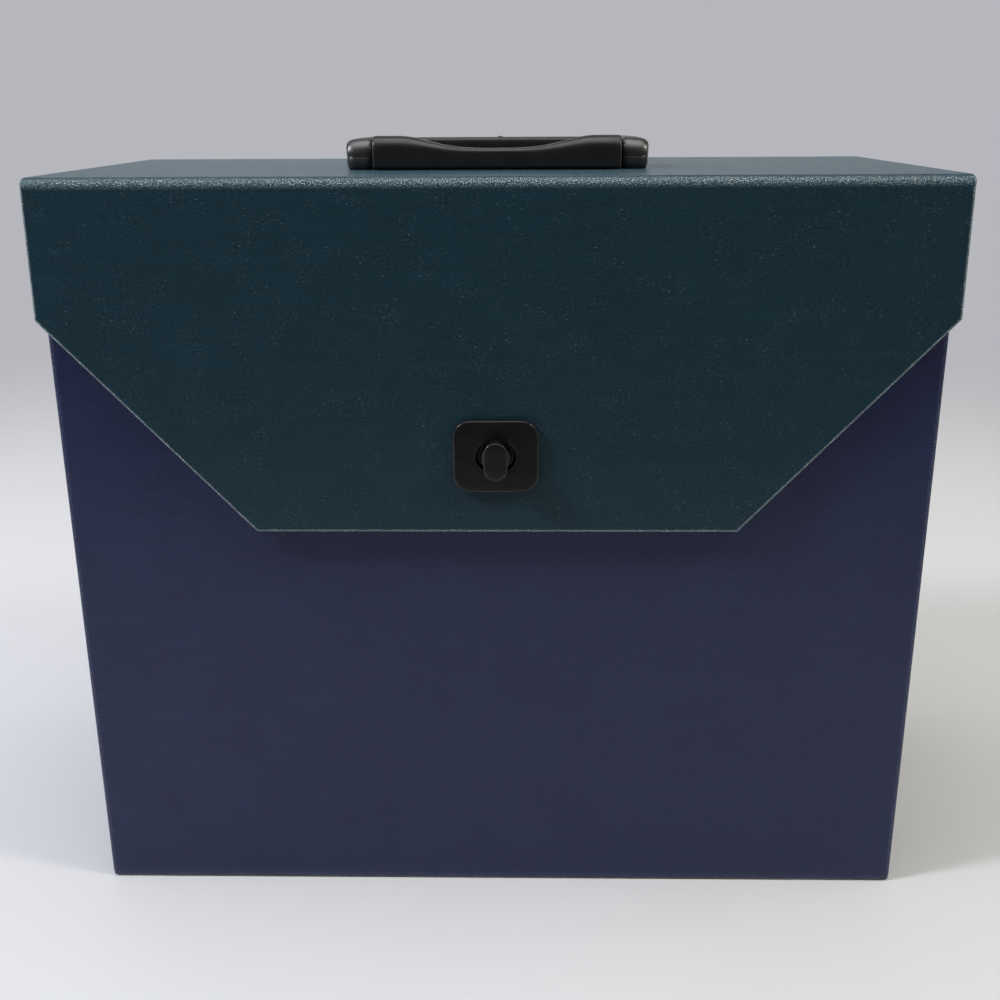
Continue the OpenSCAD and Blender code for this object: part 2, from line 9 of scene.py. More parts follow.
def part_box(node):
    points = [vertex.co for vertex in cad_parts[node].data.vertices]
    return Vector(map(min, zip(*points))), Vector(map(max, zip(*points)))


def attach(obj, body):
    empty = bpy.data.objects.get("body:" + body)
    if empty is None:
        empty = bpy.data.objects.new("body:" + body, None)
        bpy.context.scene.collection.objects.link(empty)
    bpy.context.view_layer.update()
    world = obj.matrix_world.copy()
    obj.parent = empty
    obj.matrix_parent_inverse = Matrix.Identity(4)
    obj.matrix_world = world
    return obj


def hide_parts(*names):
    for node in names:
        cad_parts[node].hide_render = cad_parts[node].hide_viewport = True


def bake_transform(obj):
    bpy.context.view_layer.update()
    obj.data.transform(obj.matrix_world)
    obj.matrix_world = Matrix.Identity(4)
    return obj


bl_info = {
    "name": "Record carrying case",
    "version": (1, 0, 0),
    "blender": (4, 5, 0),
    "location": "View3D > Sidebar > Record case",
    "description": "Dresses the packed record case: coverings, linings, turn lock, handle and fasteners",
    "category": "Add Mesh",
}

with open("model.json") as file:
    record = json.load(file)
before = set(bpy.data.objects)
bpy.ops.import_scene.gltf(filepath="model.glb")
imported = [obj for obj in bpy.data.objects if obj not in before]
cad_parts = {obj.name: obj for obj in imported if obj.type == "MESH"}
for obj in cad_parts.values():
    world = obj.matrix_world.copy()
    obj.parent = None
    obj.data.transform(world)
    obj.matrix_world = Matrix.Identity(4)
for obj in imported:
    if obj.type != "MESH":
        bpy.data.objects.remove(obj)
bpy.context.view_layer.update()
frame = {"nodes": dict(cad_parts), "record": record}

MM = 0.001


# ---- Sizes that the frame gives ----

def low(node):
    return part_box(node)[0]


def high(node):
    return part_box(node)[1]


body_half_w = high("body_cover").x
body_front = low("body_cover").y
body_back = high("body_cover").y
rim = high("body_cover").z
lid_half_w = high("top_cover").x
lid_top = high("top_cover").z
lid_back = high("top_cover").y
lid_under = low("top_cover").z
inside_half_w = high("floor_lining").x
rim_turn_in = rim - high("wall_lining").z
lid_turn_in = lid_half_w - high("top_lining").x
plate_half_w = high("lock_plate").x
lock_axis = (low("lock_spindle") + high("lock_spindle")) / 2
bail_half = high("handle_bail").x
post_inner = low("handle_cap_right").x
post_outer = high("handle_cap_right").x
post_front = low("handle_cap_right").y
post_back = high("handle_cap_right").y
post_top = high("handle_cap_right").z
handle_axis = (low("handle_pins") + high("handle_pins")) / 2


# ---- Properties ----

def length(name, text, default, top):
    """A length in metres that a user may set."""
    return bpy.props.FloatProperty(
        name=name, description=text, default=default, min=0.0, max=top, subtype="DISTANCE", unit="LENGTH",
    )


def share(name, text, default):
    return bpy.props.FloatProperty(
        name=name, description=text, default=default, min=0.0, max=1.0, subtype="FACTOR",
    )


def colour(name, text, default):
    return bpy.props.FloatVectorProperty(
        name=name, description=text, default=default, min=0.0, max=1.0, size=3, subtype="COLOR",
    )


def power(name, text, default):
    return bpy.props.FloatProperty(
        name=name, description=text, default=default, min=0.0, max=200.0, unit="POWER",
    )


class CaseCoveringSettings(bpy.types.PropertyGroup):
    """Leatherette and paper that cover the boards"""

    navy: colour("Navy", "Colour of the covering round the body", (0.0203, 0.0258, 0.0685))
    green: colour("Green", "Colour of the covering of the top panel and the flap", (0.0088, 0.0285, 0.0410))
    # Colour of rubbed grain, and of the painted highlight along edges and the fold, which are mixed towards
    # it.
    worn_and_highlight: colour("Worn", "Colour of the covering where its grain is rubbed", (0.45, 0.50, 0.49))
    paper: colour("Paper", "Colour of the paper lining", (0.017, 0.017, 0.019))
    board: colour("Board", "Colour of the raw board", (0.31, 0.26, 0.19))
    cloth: length("Cloth", "Thickness of the covering", 0.36 * MM, 0.002)
    edge: length("Edge", "Rounding of the covering over a board's edge", 0.9 * MM, 0.003)
    fold_radius: length("Fold radius", "Outer radius of the fold above the flap", 5 * MM, 0.01)
    fold_bulge: length("Fold bulge", "How far the ends of the fold stand out", 0.35 * MM, 0.002)
    flap_lean: bpy.props.FloatProperty(
        name="Flap lean", description="Angle by which the closed flap stands off the upright",
        default=math.radians(1.5), min=0.0, max=0.2, subtype="ANGLE", unit="ROTATION",
    )
    flap_length: length("Flap length", "From the top panel's face to the flap's lower edge", 149 * MM, 0.2)
    flap_sides: length("Flap sides", "Height of the flap's straight sides", 57.5 * MM, 0.12)
    flap_foot: length("Flap foot", "Width of the flap's lower edge", 208 * MM, 0.35)
    grain: length("Grain", "Size of the covering's grain", 0.85 * MM, 0.005)
    # Also sets how strongly edges and the fold are lightened by painted highlight.
    wear_and_highlight: share("Wear", "How far the covering's edges are rubbed", 0.7)


class CaseLockSettings(bpy.types.PropertyGroup):
    """The turn lock on the flap"""

    plate_height: length("Plate height", "Height of the lock plate", 31.2 * MM, 0.06)
    plate_depth: length("Plate depth", "Thickness of the lock plate", 3 * MM, 0.006)
    plate_corner: length("Plate corner", "Corner radius of the lock plate", 7.6 * MM, 0.012)
    plate_edge: length("Plate edge", "Rounding of the plate's front edge", 0.9 * MM, 0.003)
    hole_width: length("Hole width", "Width of the hole in the plate", 17.3 * MM, 0.03)
    hole_height: length("Hole height", "Height of the hole in the plate", 14.1 * MM, 0.03)
    boss_width: length("Boss width", "Width of the boss in the hole", 16.4 * MM, 0.03)
    boss_height: length("Boss height", "Height of the boss in the hole", 13.2 * MM, 0.03)
    knob_length: length("Knob length", "Length of the knob's grip", 16.2 * MM, 0.03)
    knob_width: length("Knob width", "Width of the knob's grip", 9.8 * MM, 0.02)
    knob_edge: length("Knob edge", "Rounding of the knob's front edge", 0.3 * MM, 0.003)


class CaseHandleSettings(bpy.types.PropertyGroup):
    """The folding handle on the top panel"""

    plastic: colour("Plastic", "Colour of the moulded plastic", (0.0080, 0.0074, 0.0074))
    # Also the colour of the painted highlight on the plastic's edges, mixed with their rubbing.
    rubbed: colour("Rubbed", "Colour of its rubbed edges", (0.13, 0.125, 0.12))
    steel: colour("Steel", "Colour of the plated steel", (0.55, 0.55, 0.56))
    grip_depth: length("Grip depth", "Thickness of the grip from front to back", 13 * MM, 0.03)
    scoop: length("Scoop", "Depth of the scoop along the grip", 5.3 * MM, 0.01)
    scoop_half: length("Scoop half width", "Half the width of the scoop", 43 * MM, 0.05)
    arm_width: length("Arm width", "Width of the bail's arms", 11 * MM, 0.02)
    bar_radius: length("Bar radius", "Radius of the hinge bar", 6 * MM, 0.01)
    base_height: length("Base height", "Height of the posts' lower halves", 5.6 * MM, 0.01)
    texture: length("Texture", "Size of the mould's texture", 0.5 * MM, 0.003)


class CaseStageSettings(bpy.types.PropertyGroup):
    """Floor, lamps and camera"""

    floor: colour("Floor", "Colour of the floor and the backdrop", (0.70, 0.70, 0.71))
    ground: colour("Ground", "Colour that the camera sees behind everything", (0.47, 0.47, 0.51))
    key: power("Key", "Power of the main lamp", 22.0)
    fill: power("Fill", "Power of the lamp opposite", 10.0)
    ceiling: power("Ceiling", "Power of the wide lamp overhead", 30.0)
    side: power("Side", "Power of the wide lamps at the sides", 9.0)
    back: power("Back", "Power of the lamp over the backdrop", 4.0)
    sky: share("Sky", "Strength of the light from all round", 0.07)
    lens: bpy.props.FloatProperty(
        name="Lens", description="Focal length of the camera", default=43.22, min=10.0, max=200.0,
        unit="CAMERA",
    )


# ---- Node helpers ----

def add_node(tree, kind, inputs=None, **settings):
    """A node with its settings, and its inputs set to values or linked to other nodes' outputs."""
    new = tree.nodes.new(kind)
    new.location.x = 190 * len(tree.nodes)
    for key, value in settings.items():
        setattr(new, key, value)
    for key, value in (inputs or {}).items():
        if isinstance(value, bpy.types.NodeSocket):
            tree.links.new(value, new.inputs[key])
        else:
            new.inputs[key].default_value = value
    return new


def stretched(tree, vector, scale):
    return add_node(tree, "ShaderNodeVectorMath", {0: vector, 1: scale}, operation="MULTIPLY").outputs[0]


def noise(tree, vector, size, detail=2.0, roughness=0.5):
    """Noise with features about size metres across."""
    return add_node(tree, "ShaderNodeTexNoise", {
        "Vector": vector, "Scale": 1 / size, "Detail": detail, "Roughness": roughness,
    }).outputs["Fac"]


def spread(tree, value, start, end, first=0.0, last=1.0):
    """Carries value from start..end to first..last, softly and without running past."""
    return add_node(tree, "ShaderNodeMapRange", {
        "Value": value, "From Min": start, "From Max": end, "To Min": first, "To Max": last,
    }, interpolation_type="SMOOTHSTEP").outputs[0]


def math_node(tree, operation, a, b):
    return add_node(tree, "ShaderNodeMath", {0: a, 1: b}, operation=operation).outputs[0]


def product(tree, *factors):
    """Numbers and outputs multiplied with one another."""
    result = factors[0]
    for factor in factors[1:]:
        result = math_node(tree, "MULTIPLY", result, factor)
    return result


def mixed(tree, factor, a, b):
    """Two colours mixed by factor."""
    return add_node(tree, "ShaderNodeMix", {0: factor, 6: a, 7: b}, data_type="RGBA").outputs[2]


def solid(rgb, gain=1.0):
    return (rgb[0] * gain, rgb[1] * gain, rgb[2] * gain, 1.0)


def bumped(tree, height, distance, strength):
    inputs = {"Height": height, "Distance": distance, "Strength": strength}
    return add_node(tree, "ShaderNodeBump", inputs).outputs[0]


def new_material(name):
    """A material, the tree that holds its nodes, and its shader."""
    made = bpy.data.materials.new(name)
    made.use_nodes = True
    return made, made.node_tree, made.node_tree.nodes["Principled BSDF"]


def wire(tree, shader, **links):
    """Links outputs to the shader's sockets, named with _ for a space."""
    for key, value in links.items():
        tree.links.new(value, shader.inputs[key.replace("_", " ")])


def set_plain(shader, **values):
    """Sets plain values on the shader's own sockets, named with _ for a space."""
    for key, value in values.items():
        shader.inputs[key.replace("_", " ")].default_value = value


def object_place(tree):
    return add_node(tree, "ShaderNodeTexCoord").outputs["Object"]


def attribute(tree, name, output):
    return add_node(tree, "ShaderNodeAttribute", attribute_name=name).outputs[output]


# ---- Materials ----

def leatherette(name, cover, settings, threads, sheen, flecks):
    """Paper-backed leatherette: fine pebbles, faint threads across it, light flecks, rubbed edges, and
    painted highlight along its edges and fold.
    """
    made, tree, shader = new_material(name)
    place = attribute(tree, "sheet", "Vector")
    edge = attribute(tree, "edge", "Fac")
    size = settings.grain
    cloud, patch, streak = 30 * MM, 12 * MM, 4 * MM
    fine = noise(tree, stretched(tree, place, (0.6, 1.0, 1.0)), size, 2.0, 0.6)
    thread = noise(tree, stretched(tree, place, (0.08, 1.0, 1.0)), size * 1.2, 1.0)
    cloudy = noise(tree, place, cloud, 1.0)
    patches = spread(tree, noise(tree, place, patch, 1.0), 0.40, 0.66, 0.12, 1.0)
    specks = spread(tree, noise(tree, stretched(tree, place, (0.42, 1.0, 1.0)), size * 0.62, 0.0), 0.66, 0.86)
    streaks = noise(tree, stretched(tree, place, (0.05, 1.0, 1.0)), streak, 2.0)
    rubbed = spread(tree, noise(tree, place, size * 0.55, 1.0, 0.3), 0.56, 0.685)
    speck_colour = solid([part * 2.5 + 0.09 for part in cover])
    # Painted highlight with rubbing: a smooth lighter tone for edges and the fold, standing for the light
    # they catch.
    smooth_highlight_and_wear = solid([part * 2.4 + 0.05 * worn_and_highlight for part, worn_and_highlight in zip(cover, settings.worn_and_highlight)])
    shade = mixed(tree, spread(tree, fine, 0.3, 0.7), solid(cover, 0.94), solid(cover, 1.1))
    for factor, over in (
        (spread(tree, thread, 0.4, 0.68, 0.0, threads), solid(cover, 1.9)),
        (spread(tree, cloudy, 0.3, 0.7, 0.0, 0.35), solid(cover, 1.3)),
        (spread(tree, streaks, 0.45, 0.75, 0.0, 0.4), solid(cover, 1.35)),
        (product(tree, specks, patches, flecks), speck_colour),
        # Painted highlight with rubbing, smooth along edges and the fold.
        (product(tree, edge, settings.wear_and_highlight * 0.5), smooth_highlight_and_wear),
        (product(tree, edge, rubbed, settings.wear_and_highlight), solid(settings.worn_and_highlight, 1.4)),
        # Painted highlight: a continuous light line on the tightest edges, for the light that their rounding
        # catches.
        (spread(tree, edge, 1.5, 3.0, 0.0, 0.6), solid(settings.worn_and_highlight, 0.55)),
    ):
        shade = mixed(tree, factor, shade, over)
    tint = solid([0.35 + 0.65 * part / max(cover) for part in cover])
    set_plain(shader, IOR=1.45, Specular_IOR_Level=0.28)
    set_plain(shader, Sheen_Weight=sheen, Sheen_Roughness=0.45, Sheen_Tint=tint)
    roughness = spread(tree, fine, 0.3, 0.7, 0.25, 0.38)
    height = math_node(tree, "ADD", fine, product(tree, thread, 0.5))
    wire(tree, shader, Base_Color=shade, Roughness=roughness, Normal=bumped(tree, height, 0.045 * MM, 0.8))
    return made


def lining_paper(settings):
    """Matt paper with short fibres."""
    made, tree, shader = new_material("fibrous_paper")
    place = object_place(tree)
    paper = settings.paper
    fibre, cloud = 0.5 * MM, 25 * MM
    fibres = noise(tree, stretched(tree, place, (0.25, 1.0, 1.0)), fibre, 4.0, 0.6)
    cloudy = noise(tree, place, cloud)
    shade = mixed(tree, spread(tree, fibres, 0.3, 0.7), solid(paper, 0.75), solid(paper, 1.35))
    shade = mixed(tree, spread(tree, cloudy, 0.4, 0.7, 0.0, 0.3), shade, solid(paper, 1.8))
    roughness = spread(tree, fibres, 0.2, 0.8, 0.72, 0.9)
    wire(tree, shader, Base_Color=shade, Roughness=roughness, Normal=bumped(tree, fibres, 0.04 * MM, 0.6))
    set_plain(shader, Specular_IOR_Level=0.3)
    return made


def greyboard(settings):
    """Raw board with flecks of pulp."""
    made, tree, shader = new_material("pulp_board")
    place = object_place(tree)
    board = settings.board
    clump, fleck = 1.2 * MM, 0.7 * MM
    pulp = noise(tree, place, clump, 5.0, 0.65)
    specks = spread(tree, noise(tree, place, fleck, 1.0), 0.68, 0.74)
    shade = mixed(tree, pulp, solid(board, 0.7), solid(board, 1.2))
    shade = mixed(tree, product(tree, specks, 0.5), shade, solid(board, 0.4))
    wire(tree, shader, Base_Color=shade, Normal=bumped(tree, pulp, 0.08 * MM, 0.7))
    set_plain(shader, Roughness=0.92)
    return made


def edge_highlight_and_rubbing(tree, shade, settings, amount):
    """Lightens the plastic at its edges: painted highlight for the light that the edges catch, with some
    rubbing.
    """
    edge = spread(tree, attribute(tree, "edge", "Fac"), 0.25, 1.0, 0.0, amount)
    return mixed(tree, edge, shade, solid(settings.rubbed))


def textured_plastic(name, settings, smooth, rough, gloss, lit_and_handled_edges):
    """Black plastic from a finely etched mould, a little polished at its edges, which are lightened by
    painted highlight with some rubbing.
    """
    made, tree, shader = new_material(name)
    place = object_place(tree)
    plastic = settings.plastic
    speck, touched = 0.6 * MM, 14 * MM
    etched = noise(tree, place, settings.texture, 3.0, 0.6)
    handled = noise(tree, place, touched, 2.0)
    dust = spread(tree, noise(tree, place, speck, 0.0), 0.80, 0.88)
    shade = mixed(tree, spread(tree, etched, 0.3, 0.7), solid(plastic, 0.7), solid(plastic, 1.3))
    shade = mixed(tree, product(tree, dust, 0.12), shade, solid((0.3, 0.3, 0.3)))
    # Painted highlight with rubbing on the edges.
    shade = edge_highlight_and_rubbing(tree, shade, settings, lit_and_handled_edges)
    polished = spread(tree, attribute(tree, "edge", "Fac"), 0.2, 0.6, 1.0, 1 - 1.3 * lit_and_handled_edges)
    roughness = product(tree, spread(tree, handled, 0.3, 0.7, smooth, rough), polished)
    wire(tree, shader, Base_Color=shade, Roughness=roughness, Normal=bumped(tree, etched, 0.05 * MM, 0.7))
    set_plain(shader, Specular_IOR_Level=gloss)
    return made


def satin_plastic(settings):
    """Smooth black plastic with fine scuffs, its edges lightened by painted highlight with some rubbing."""
    made, tree, shader = new_material("satin_black_plastic")
    place = object_place(tree)
    plastic = settings.plastic
    scuff = 0.9 * MM
    scuffs = noise(tree, stretched(tree, place, (1.0, 0.12, 1.0)), scuff, 4.0, 0.6)
    shade = mixed(tree, spread(tree, scuffs, 0.45, 0.8), solid(plastic, 0.75), solid(plastic, 1.5))
    # Painted highlight with rubbing on the edges.
    shade = edge_highlight_and_rubbing(tree, shade, settings, 0.5)
    roughness = spread(tree, scuffs, 0.4, 0.75, 0.36, 0.46)
    wire(tree, shader, Base_Color=shade, Roughness=roughness, Normal=bumped(tree, scuffs, 0.003 * MM, 0.5))
    set_plain(shader, Specular_IOR_Level=1.0, IOR=1.6)
    return made


def plated_steel(settings):
    """Zinc plated steel, brushed and slightly mottled."""
    made, tree, shader = new_material("brushed_plating")
    place = object_place(tree)
    steel = settings.steel
    stroke, spangle = 0.25 * MM, 5 * MM
    brushed = noise(tree, stretched(tree, place, (0.06, 1.0, 1.0)), stroke, 3.0)
    mottled = noise(tree, place, spangle, 3.0)
    shade = mixed(tree, spread(tree, mottled, 0.35, 0.65), solid(steel, 0.85), solid(steel, 1.1))
    roughness = spread(tree, brushed, 0.3, 0.7, 0.26, 0.42)
    wire(tree, shader, Base_Color=shade, Roughness=roughness, Normal=bumped(tree, brushed, 0.01 * MM, 0.5))
    set_plain(shader, Metallic=1.0)
    return made


def painted_floor(settings):
    """Plain pale floor, which the camera sees run out into the plain pale ground far from the case."""
    made, tree, shader = new_material("pale_floor")
    place = object_place(tree)
    cloud, run_out, behind = 0.25, (0.6, 1.6), (-0.42, -0.70)
    cloudy = noise(tree, place, cloud, 2.0)
    shade = mixed(tree, cloudy, solid(settings.floor, 0.97), solid(settings.floor, 1.03))
    wire(tree, shader, Base_Color=shade)
    set_plain(shader, Roughness=0.65, Specular_IOR_Level=0.25)
    axes = add_node(tree, "ShaderNodeSeparateXYZ", {0: place}).outputs
    away = add_node(tree, "ShaderNodeVectorMath", {0: place}, operation="LENGTH").outputs["Value"]
    behind_camera = spread(tree, axes["Y"], *behind)
    far = math_node(tree, "MAXIMUM", spread(tree, away, *run_out), behind_camera)
    seen = add_node(tree, "ShaderNodeLightPath").outputs["Is Camera Ray"]
    ground = add_node(tree, "ShaderNodeEmission", {"Color": solid(settings.ground), "Strength": 1.0})
    both = add_node(tree, "ShaderNodeMixShader", {
        0: product(tree, far, seen), 1: shader.outputs[0], 2: ground.outputs[0],
    }).outputs[0]
    out = next(node for node in tree.nodes if node.bl_idname == "ShaderNodeOutputMaterial")
    tree.links.new(both, out.inputs["Surface"])
    return made


# ---- Mesh helpers ----

def mark_edges(mesh, radius):
    """Writes how tightly the surface turns outwards at each point, as 1 at this radius and below."""
    form = bmesh.new()
    form.from_mesh(mesh)
    worn_and_highlight = form.verts.layers.float.new("edge")
    least_span = 0.02 * MM
    for edge in form.edges:
        if len(edge.link_faces) != 2:
            continue
        one, other = edge.link_faces
        span = max((one.calc_center_median() - other.calc_center_median()).length, least_span)
        tight = min(1.0, edge.calc_face_angle_signed(0.0) / span * radius)
        for vert in edge.verts:
            vert[worn_and_highlight] = max(vert[worn_and_highlight], tight)
    form.to_mesh(mesh)
    form.free()


def to_object(name, mesh, material, sharp=math.radians(38)):
    """A shown object from a finished mesh, smooth except at edges sharper than sharp."""
    made = bpy.data.objects.new(name, mesh)
    bpy.context.scene.collection.objects.link(made)
    mesh.materials.clear()
    mesh.materials.append(material)
    mesh.shade_smooth()
    mesh.set_sharp_from_angle(angle=sharp)
    return made


def sheet_object(name, mesh, material, thickness):
    """The object of a folded sheet, given its thickness inwards by Solidify, as a plain mesh."""
    rough = bpy.data.objects.new(name + "_rough", mesh)
    bpy.context.scene.collection.objects.link(rough)
    solidify = rough.modifiers.new("thickness", "SOLIDIFY")
    solidify.thickness = thickness
    solidify.offset = -1.0
    solidify.use_even_offset = True
    graph = bpy.context.evaluated_depsgraph_get()
    made = bpy.data.meshes.new_from_object(rough.evaluated_get(graph), depsgraph=graph)
    bpy.data.objects.remove(rough)
    made.name = name
    return to_object(name, made, material)


def fill_between(mesh, *rings):
    """Fills a flat face between an outline and any holes in it."""
    edges = []
    for ring in rings:
        for i, vert in enumerate(ring):
            pair = (vert, ring[(i + 1) % len(ring)])
            edges.append(mesh.edges.get(pair) or mesh.edges.new(pair))
    bmesh.ops.triangle_fill(mesh, edges=edges, use_beauty=True, use_dissolve=False)


def skin(rings, joined=False):
    """Points and faces of a skin through rings of one count, closed at its ends or joined to itself."""
    count = len(rings[0])
    points = [tuple(p) for ring in rings for p in ring]
    faces = []
    for k in range(len(rings) if joined else len(rings) - 1):
        a, b = k * count, (k + 1) % len(rings) * count
        for i in range(count):
            j = (i + 1) % count
            faces.append((a + i, a + j, b + j, b + i))
    if not joined:
        last = len(points) - count
        faces.append(tuple(range(count - 1, -1, -1)))
        faces.append(tuple(range(last, last + count)))
    return points, faces


def mesh_of(name, *shells):
    """One mesh from closed shells of points and faces, each turned to face outwards."""
    together = bmesh.new()
    for points, faces in shells:
        shell = bmesh.new()
        corners = [shell.verts.new(p) for p in points]
        for face in faces:
            shell.faces.new([corners[i] for i in face])
        bmesh.ops.remove_doubles(shell, verts=shell.verts, dist=1e-7)
        bmesh.ops.recalc_face_normals(shell, faces=shell.faces)
        if shell.calc_volume(signed=True) < 0:
            bmesh.ops.reverse_faces(shell, faces=shell.faces)
        part = bpy.data.meshes.new("part")
        shell.to_mesh(part)
        shell.free()
        together.from_mesh(part)
        bpy.data.meshes.remove(part)
    made = bpy.data.meshes.new(name)
    together.to_mesh(made)
    together.free()
    # Edges this tight are lightened most by the painted highlight with rubbing.
    highlight_and_rubbing_radius = 0.45 * MM
    mark_edges(made, highlight_and_rubbing_radius)
    return made


def rounded_outline(corners, inset, radius, steps=5):
    """A convex outline that runs anticlockwise, drawn in by inset, with round corners."""
    least_radius = 0.02 * MM
    radius = max(radius - inset, least_radius)
    reach = inset + radius
    count = len(corners)
    normals = []
    for i in range(count):
        side = Vector(corners[(i + 1) % count]) - Vector(corners[i])
        normals.append(Vector((side.y, -side.x)).normalized())
    points = []
    for i in range(count):
        before, after = normals[i - 1], normals[i]
        half = (before + after).normalized()
        centre = Vector(corners[i]) - half * (reach / half.dot(after))
        for k in range(steps + 1):
            turn = before.angle_signed(after) * -k / steps
            points.append(centre + Matrix.Rotation(turn, 2) @ before * radius)
    return points


def circle(radius, count=96):
    turns = [math.tau * i / count for i in range(count)]
    return [Vector((radius * math.cos(t), radius * math.sin(t))) for t in turns]


def quarter_turned(points):
    return [Vector((-p.y, p.x)) for p in points]


def rectangle(half_w, half_h):
    return [(-half_w, -half_h), (half_w, -half_h), (half_w, half_h), (-half_w, half_h)]


def stadium(width, height, count=96):
    """A slot with round ends, as points at even angles round its centre."""
    r = height / 2
    arm = width / 2 - r
    points = []
    for i in range(count):
        angle = math.tau * i / count
        x, y = math.cos(angle), math.sin(angle)
        if abs(y) * arm > abs(x) * r:
            points.append(Vector((x * r / abs(y), math.copysign(r, y))))
        else:
            side = math.copysign(arm, x)
            along = side * x + math.sqrt(max(side * side * x * x - arm * arm + r * r, 0.0))
            points.append(Vector((x * along, y * along)))
    return points


def soft_rectangle(half_w, half_h, radius, count=96):
    """A rectangle with round corners, as points at even angles round its centre."""
    points = []
    for i in range(count):
        angle = math.tau * i / count
        x, y = math.cos(angle), math.sin(angle)
        far = min(half_w / max(abs(x), 1e-9), half_h / max(abs(y), 1e-9))
        px, py = abs(x) * far, abs(y) * far
        cx, cy = half_w - radius, half_h - radius
        if px > cx and py > cy:
            ray = Vector((abs(x), abs(y)))
            centre = Vector((cx, cy))
            middle = ray.dot(centre)
            far = middle + math.sqrt(max(middle ** 2 - centre.length_squared + radius ** 2, 0.0))
        points.append(Vector((x * far, y * far)))
    return points


def quarter(radius, steps=5):
    """Pairs (inset, depth) round an edge, from its face to its side."""
    turns = [math.pi / 2 * k / steps for k in range(steps + 1)]
    return [(radius * (1 - math.sin(t)), radius * (1 - math.cos(t))) for t in turns]


def bump_of(x):
    """A soft bump from 0 at 0 up to 1 at a half and back to 0 at 1."""
    return math.sin(math.pi * x) ** 2 if 0 < x < 1 else 0.0


# ---- The covering's flat form, and how it bends over the case ----

class FlatSheet:
    """A sheet drawn flat, with the place on the sheet, and how far its edge is rubbed and lightened by
    painted highlight, kept on each point.
    """

    def __init__(self):
        self.mesh = bmesh.new()
        self.place = self.mesh.verts.layers.float_vector.new("sheet")
        self.edge = self.mesh.verts.layers.float.new("edge")

    def ring(self, points, depth, wear_and_highlight):
        made = []
        for p in points:
            vert = self.mesh.verts.new((p[0], p[1], depth))
            vert[self.edge] = wear_and_highlight
            made.append(vert)
        return made

    def join(self, outer, inner):
        for i in range(len(outer)):
            j = (i + 1) % len(outer)
            self.mesh.faces.new((outer[i], outer[j], inner[j], inner[i]))

    def edged(self, outline, radius, steps, profile):
        """Joined rings over the sheet's edge, from (inset, depth, rubbing and painted highlight) at each; the
        first is the face's.
        """
        rings = [
            self.ring(rounded_outline(outline, inset, radius, steps), depth, wear_and_highlight)
            for inset, depth, wear_and_highlight in profile
        ]
        for outer, inner in zip(rings, rings[1:]):
            self.join(outer, inner)
        return rings

    def cut(self, axis, places):
        """Adds a line of points across the sheet at each place along an axis."""
        normal = Vector((0, 0, 0))
        normal[axis] = 1
        for place in places:
            bmesh.ops.bisect_plane(
                self.mesh, geom=[*self.mesh.verts, *self.mesh.edges, *self.mesh.faces],
                dist=1e-7, plane_co=normal * place, plane_no=normal,
            )

    def bent(self, name, to_space, highlight_and_wear_at=None):
        """The mesh of the sheet carried to its place on the case, facing outwards."""
        bmesh.ops.recalc_face_normals(self.mesh, faces=self.mesh.faces)
        front = max(self.mesh.faces, key=lambda f: f.calc_area() if f.calc_center_median().z < 1e-6 else 0)
        if front.normal.z > 0:
            bmesh.ops.reverse_faces(self.mesh, faces=self.mesh.faces)
        for vert in self.mesh.verts:
            vert[self.place] = vert.co
            if highlight_and_wear_at:
                vert[self.edge] = max(vert[self.edge], highlight_and_wear_at(*vert.co))
            vert.co = to_space(*vert.co)
        made = bpy.data.meshes.new(name)
        self.mesh.to_mesh(made)
        self.mesh.free()
        return made


def covering():
    return bpy.context.scene.case_covering


def fold_lines():
    """Places along the developed covering where the fold starts and ends, and its lower edge."""
    c = covering()
    fold_y = low_front() + c.fold_radius
    start = lid_back - fold_y
    end = start + c.fold_radius * (math.pi / 2 - c.flap_lean)
    return start, end, end + c.flap_length - c.fold_radius


def low_front():
    """The outer face of the flap at the top of its fold."""
    return lid_back - 2 * (lid_back - handle_axis.y)


def on_cover(u, s, d):
    """The point at u across, s along the covering from its rear edge, and d below its face."""
    c = covering()
    start, end, _ = fold_lines()
    r = c.fold_radius
    turn = min(max((s - start) / r, 0.0), (end - start) / r)
    flat = min(s - start, 0.0)
    down = max(s - end, 0.0)
    y = lid_back - start - flat - (r - d) * math.sin(turn) - down * math.cos(turn)
    z = lid_top - r + (r - d) * math.cos(turn) - down * math.sin(turn)
    return Vector((u, y, z))


def on_green(u, s, d):
    """The green covering's own form: pinched and a little fuller at the ends of its fold."""
    c = covering()
    start, end, _ = fold_lines()
    margin = 0.6 * MM
    end_zone = 2 * MM
    pinch = 0.72
    along_fold = (s - start - margin) / (end - start - 2 * margin)
    bump = bump_of(along_fold) ** 0.5
    if d > c.edge:
        d -= (d - c.edge) * pinch * bump
    if abs(u) > lid_half_w - end_zone:
        u += math.copysign(c.fold_bulge * bump, u)
    return on_cover(u, s, d)


def bend_at_fold(piece):
    """Bakes a finished sheet's placement into its mesh."""
    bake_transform(piece)


def fold_highlight_and_wear(u, s, d):
    """The fold's outer curve is lightened, most of all just above the flap's face: painted highlight where it
    turns to the light, and rubbing of its grain.
    """
    start, end, _ = fold_lines()
    most, first, span, face = 1.4, 0.10, 0.96, 0.1 * MM
    along = (s - start) / (end - start)
    return most * bump_of((along - first) / span) if d < face else 0.0


def cover_outline():
    """Corners of the top panel and the flap laid flat, anticlockwise."""
    c = covering()
    _, end, foot = fold_lines()
    side = end + c.flap_sides - c.fold_radius
    return [
        (-lid_half_w, 0.0), (lid_half_w, 0.0), (lid_half_w, side),
        (c.flap_foot / 2, foot), (-c.flap_foot / 2, foot), (-lid_half_w, side),
    ]


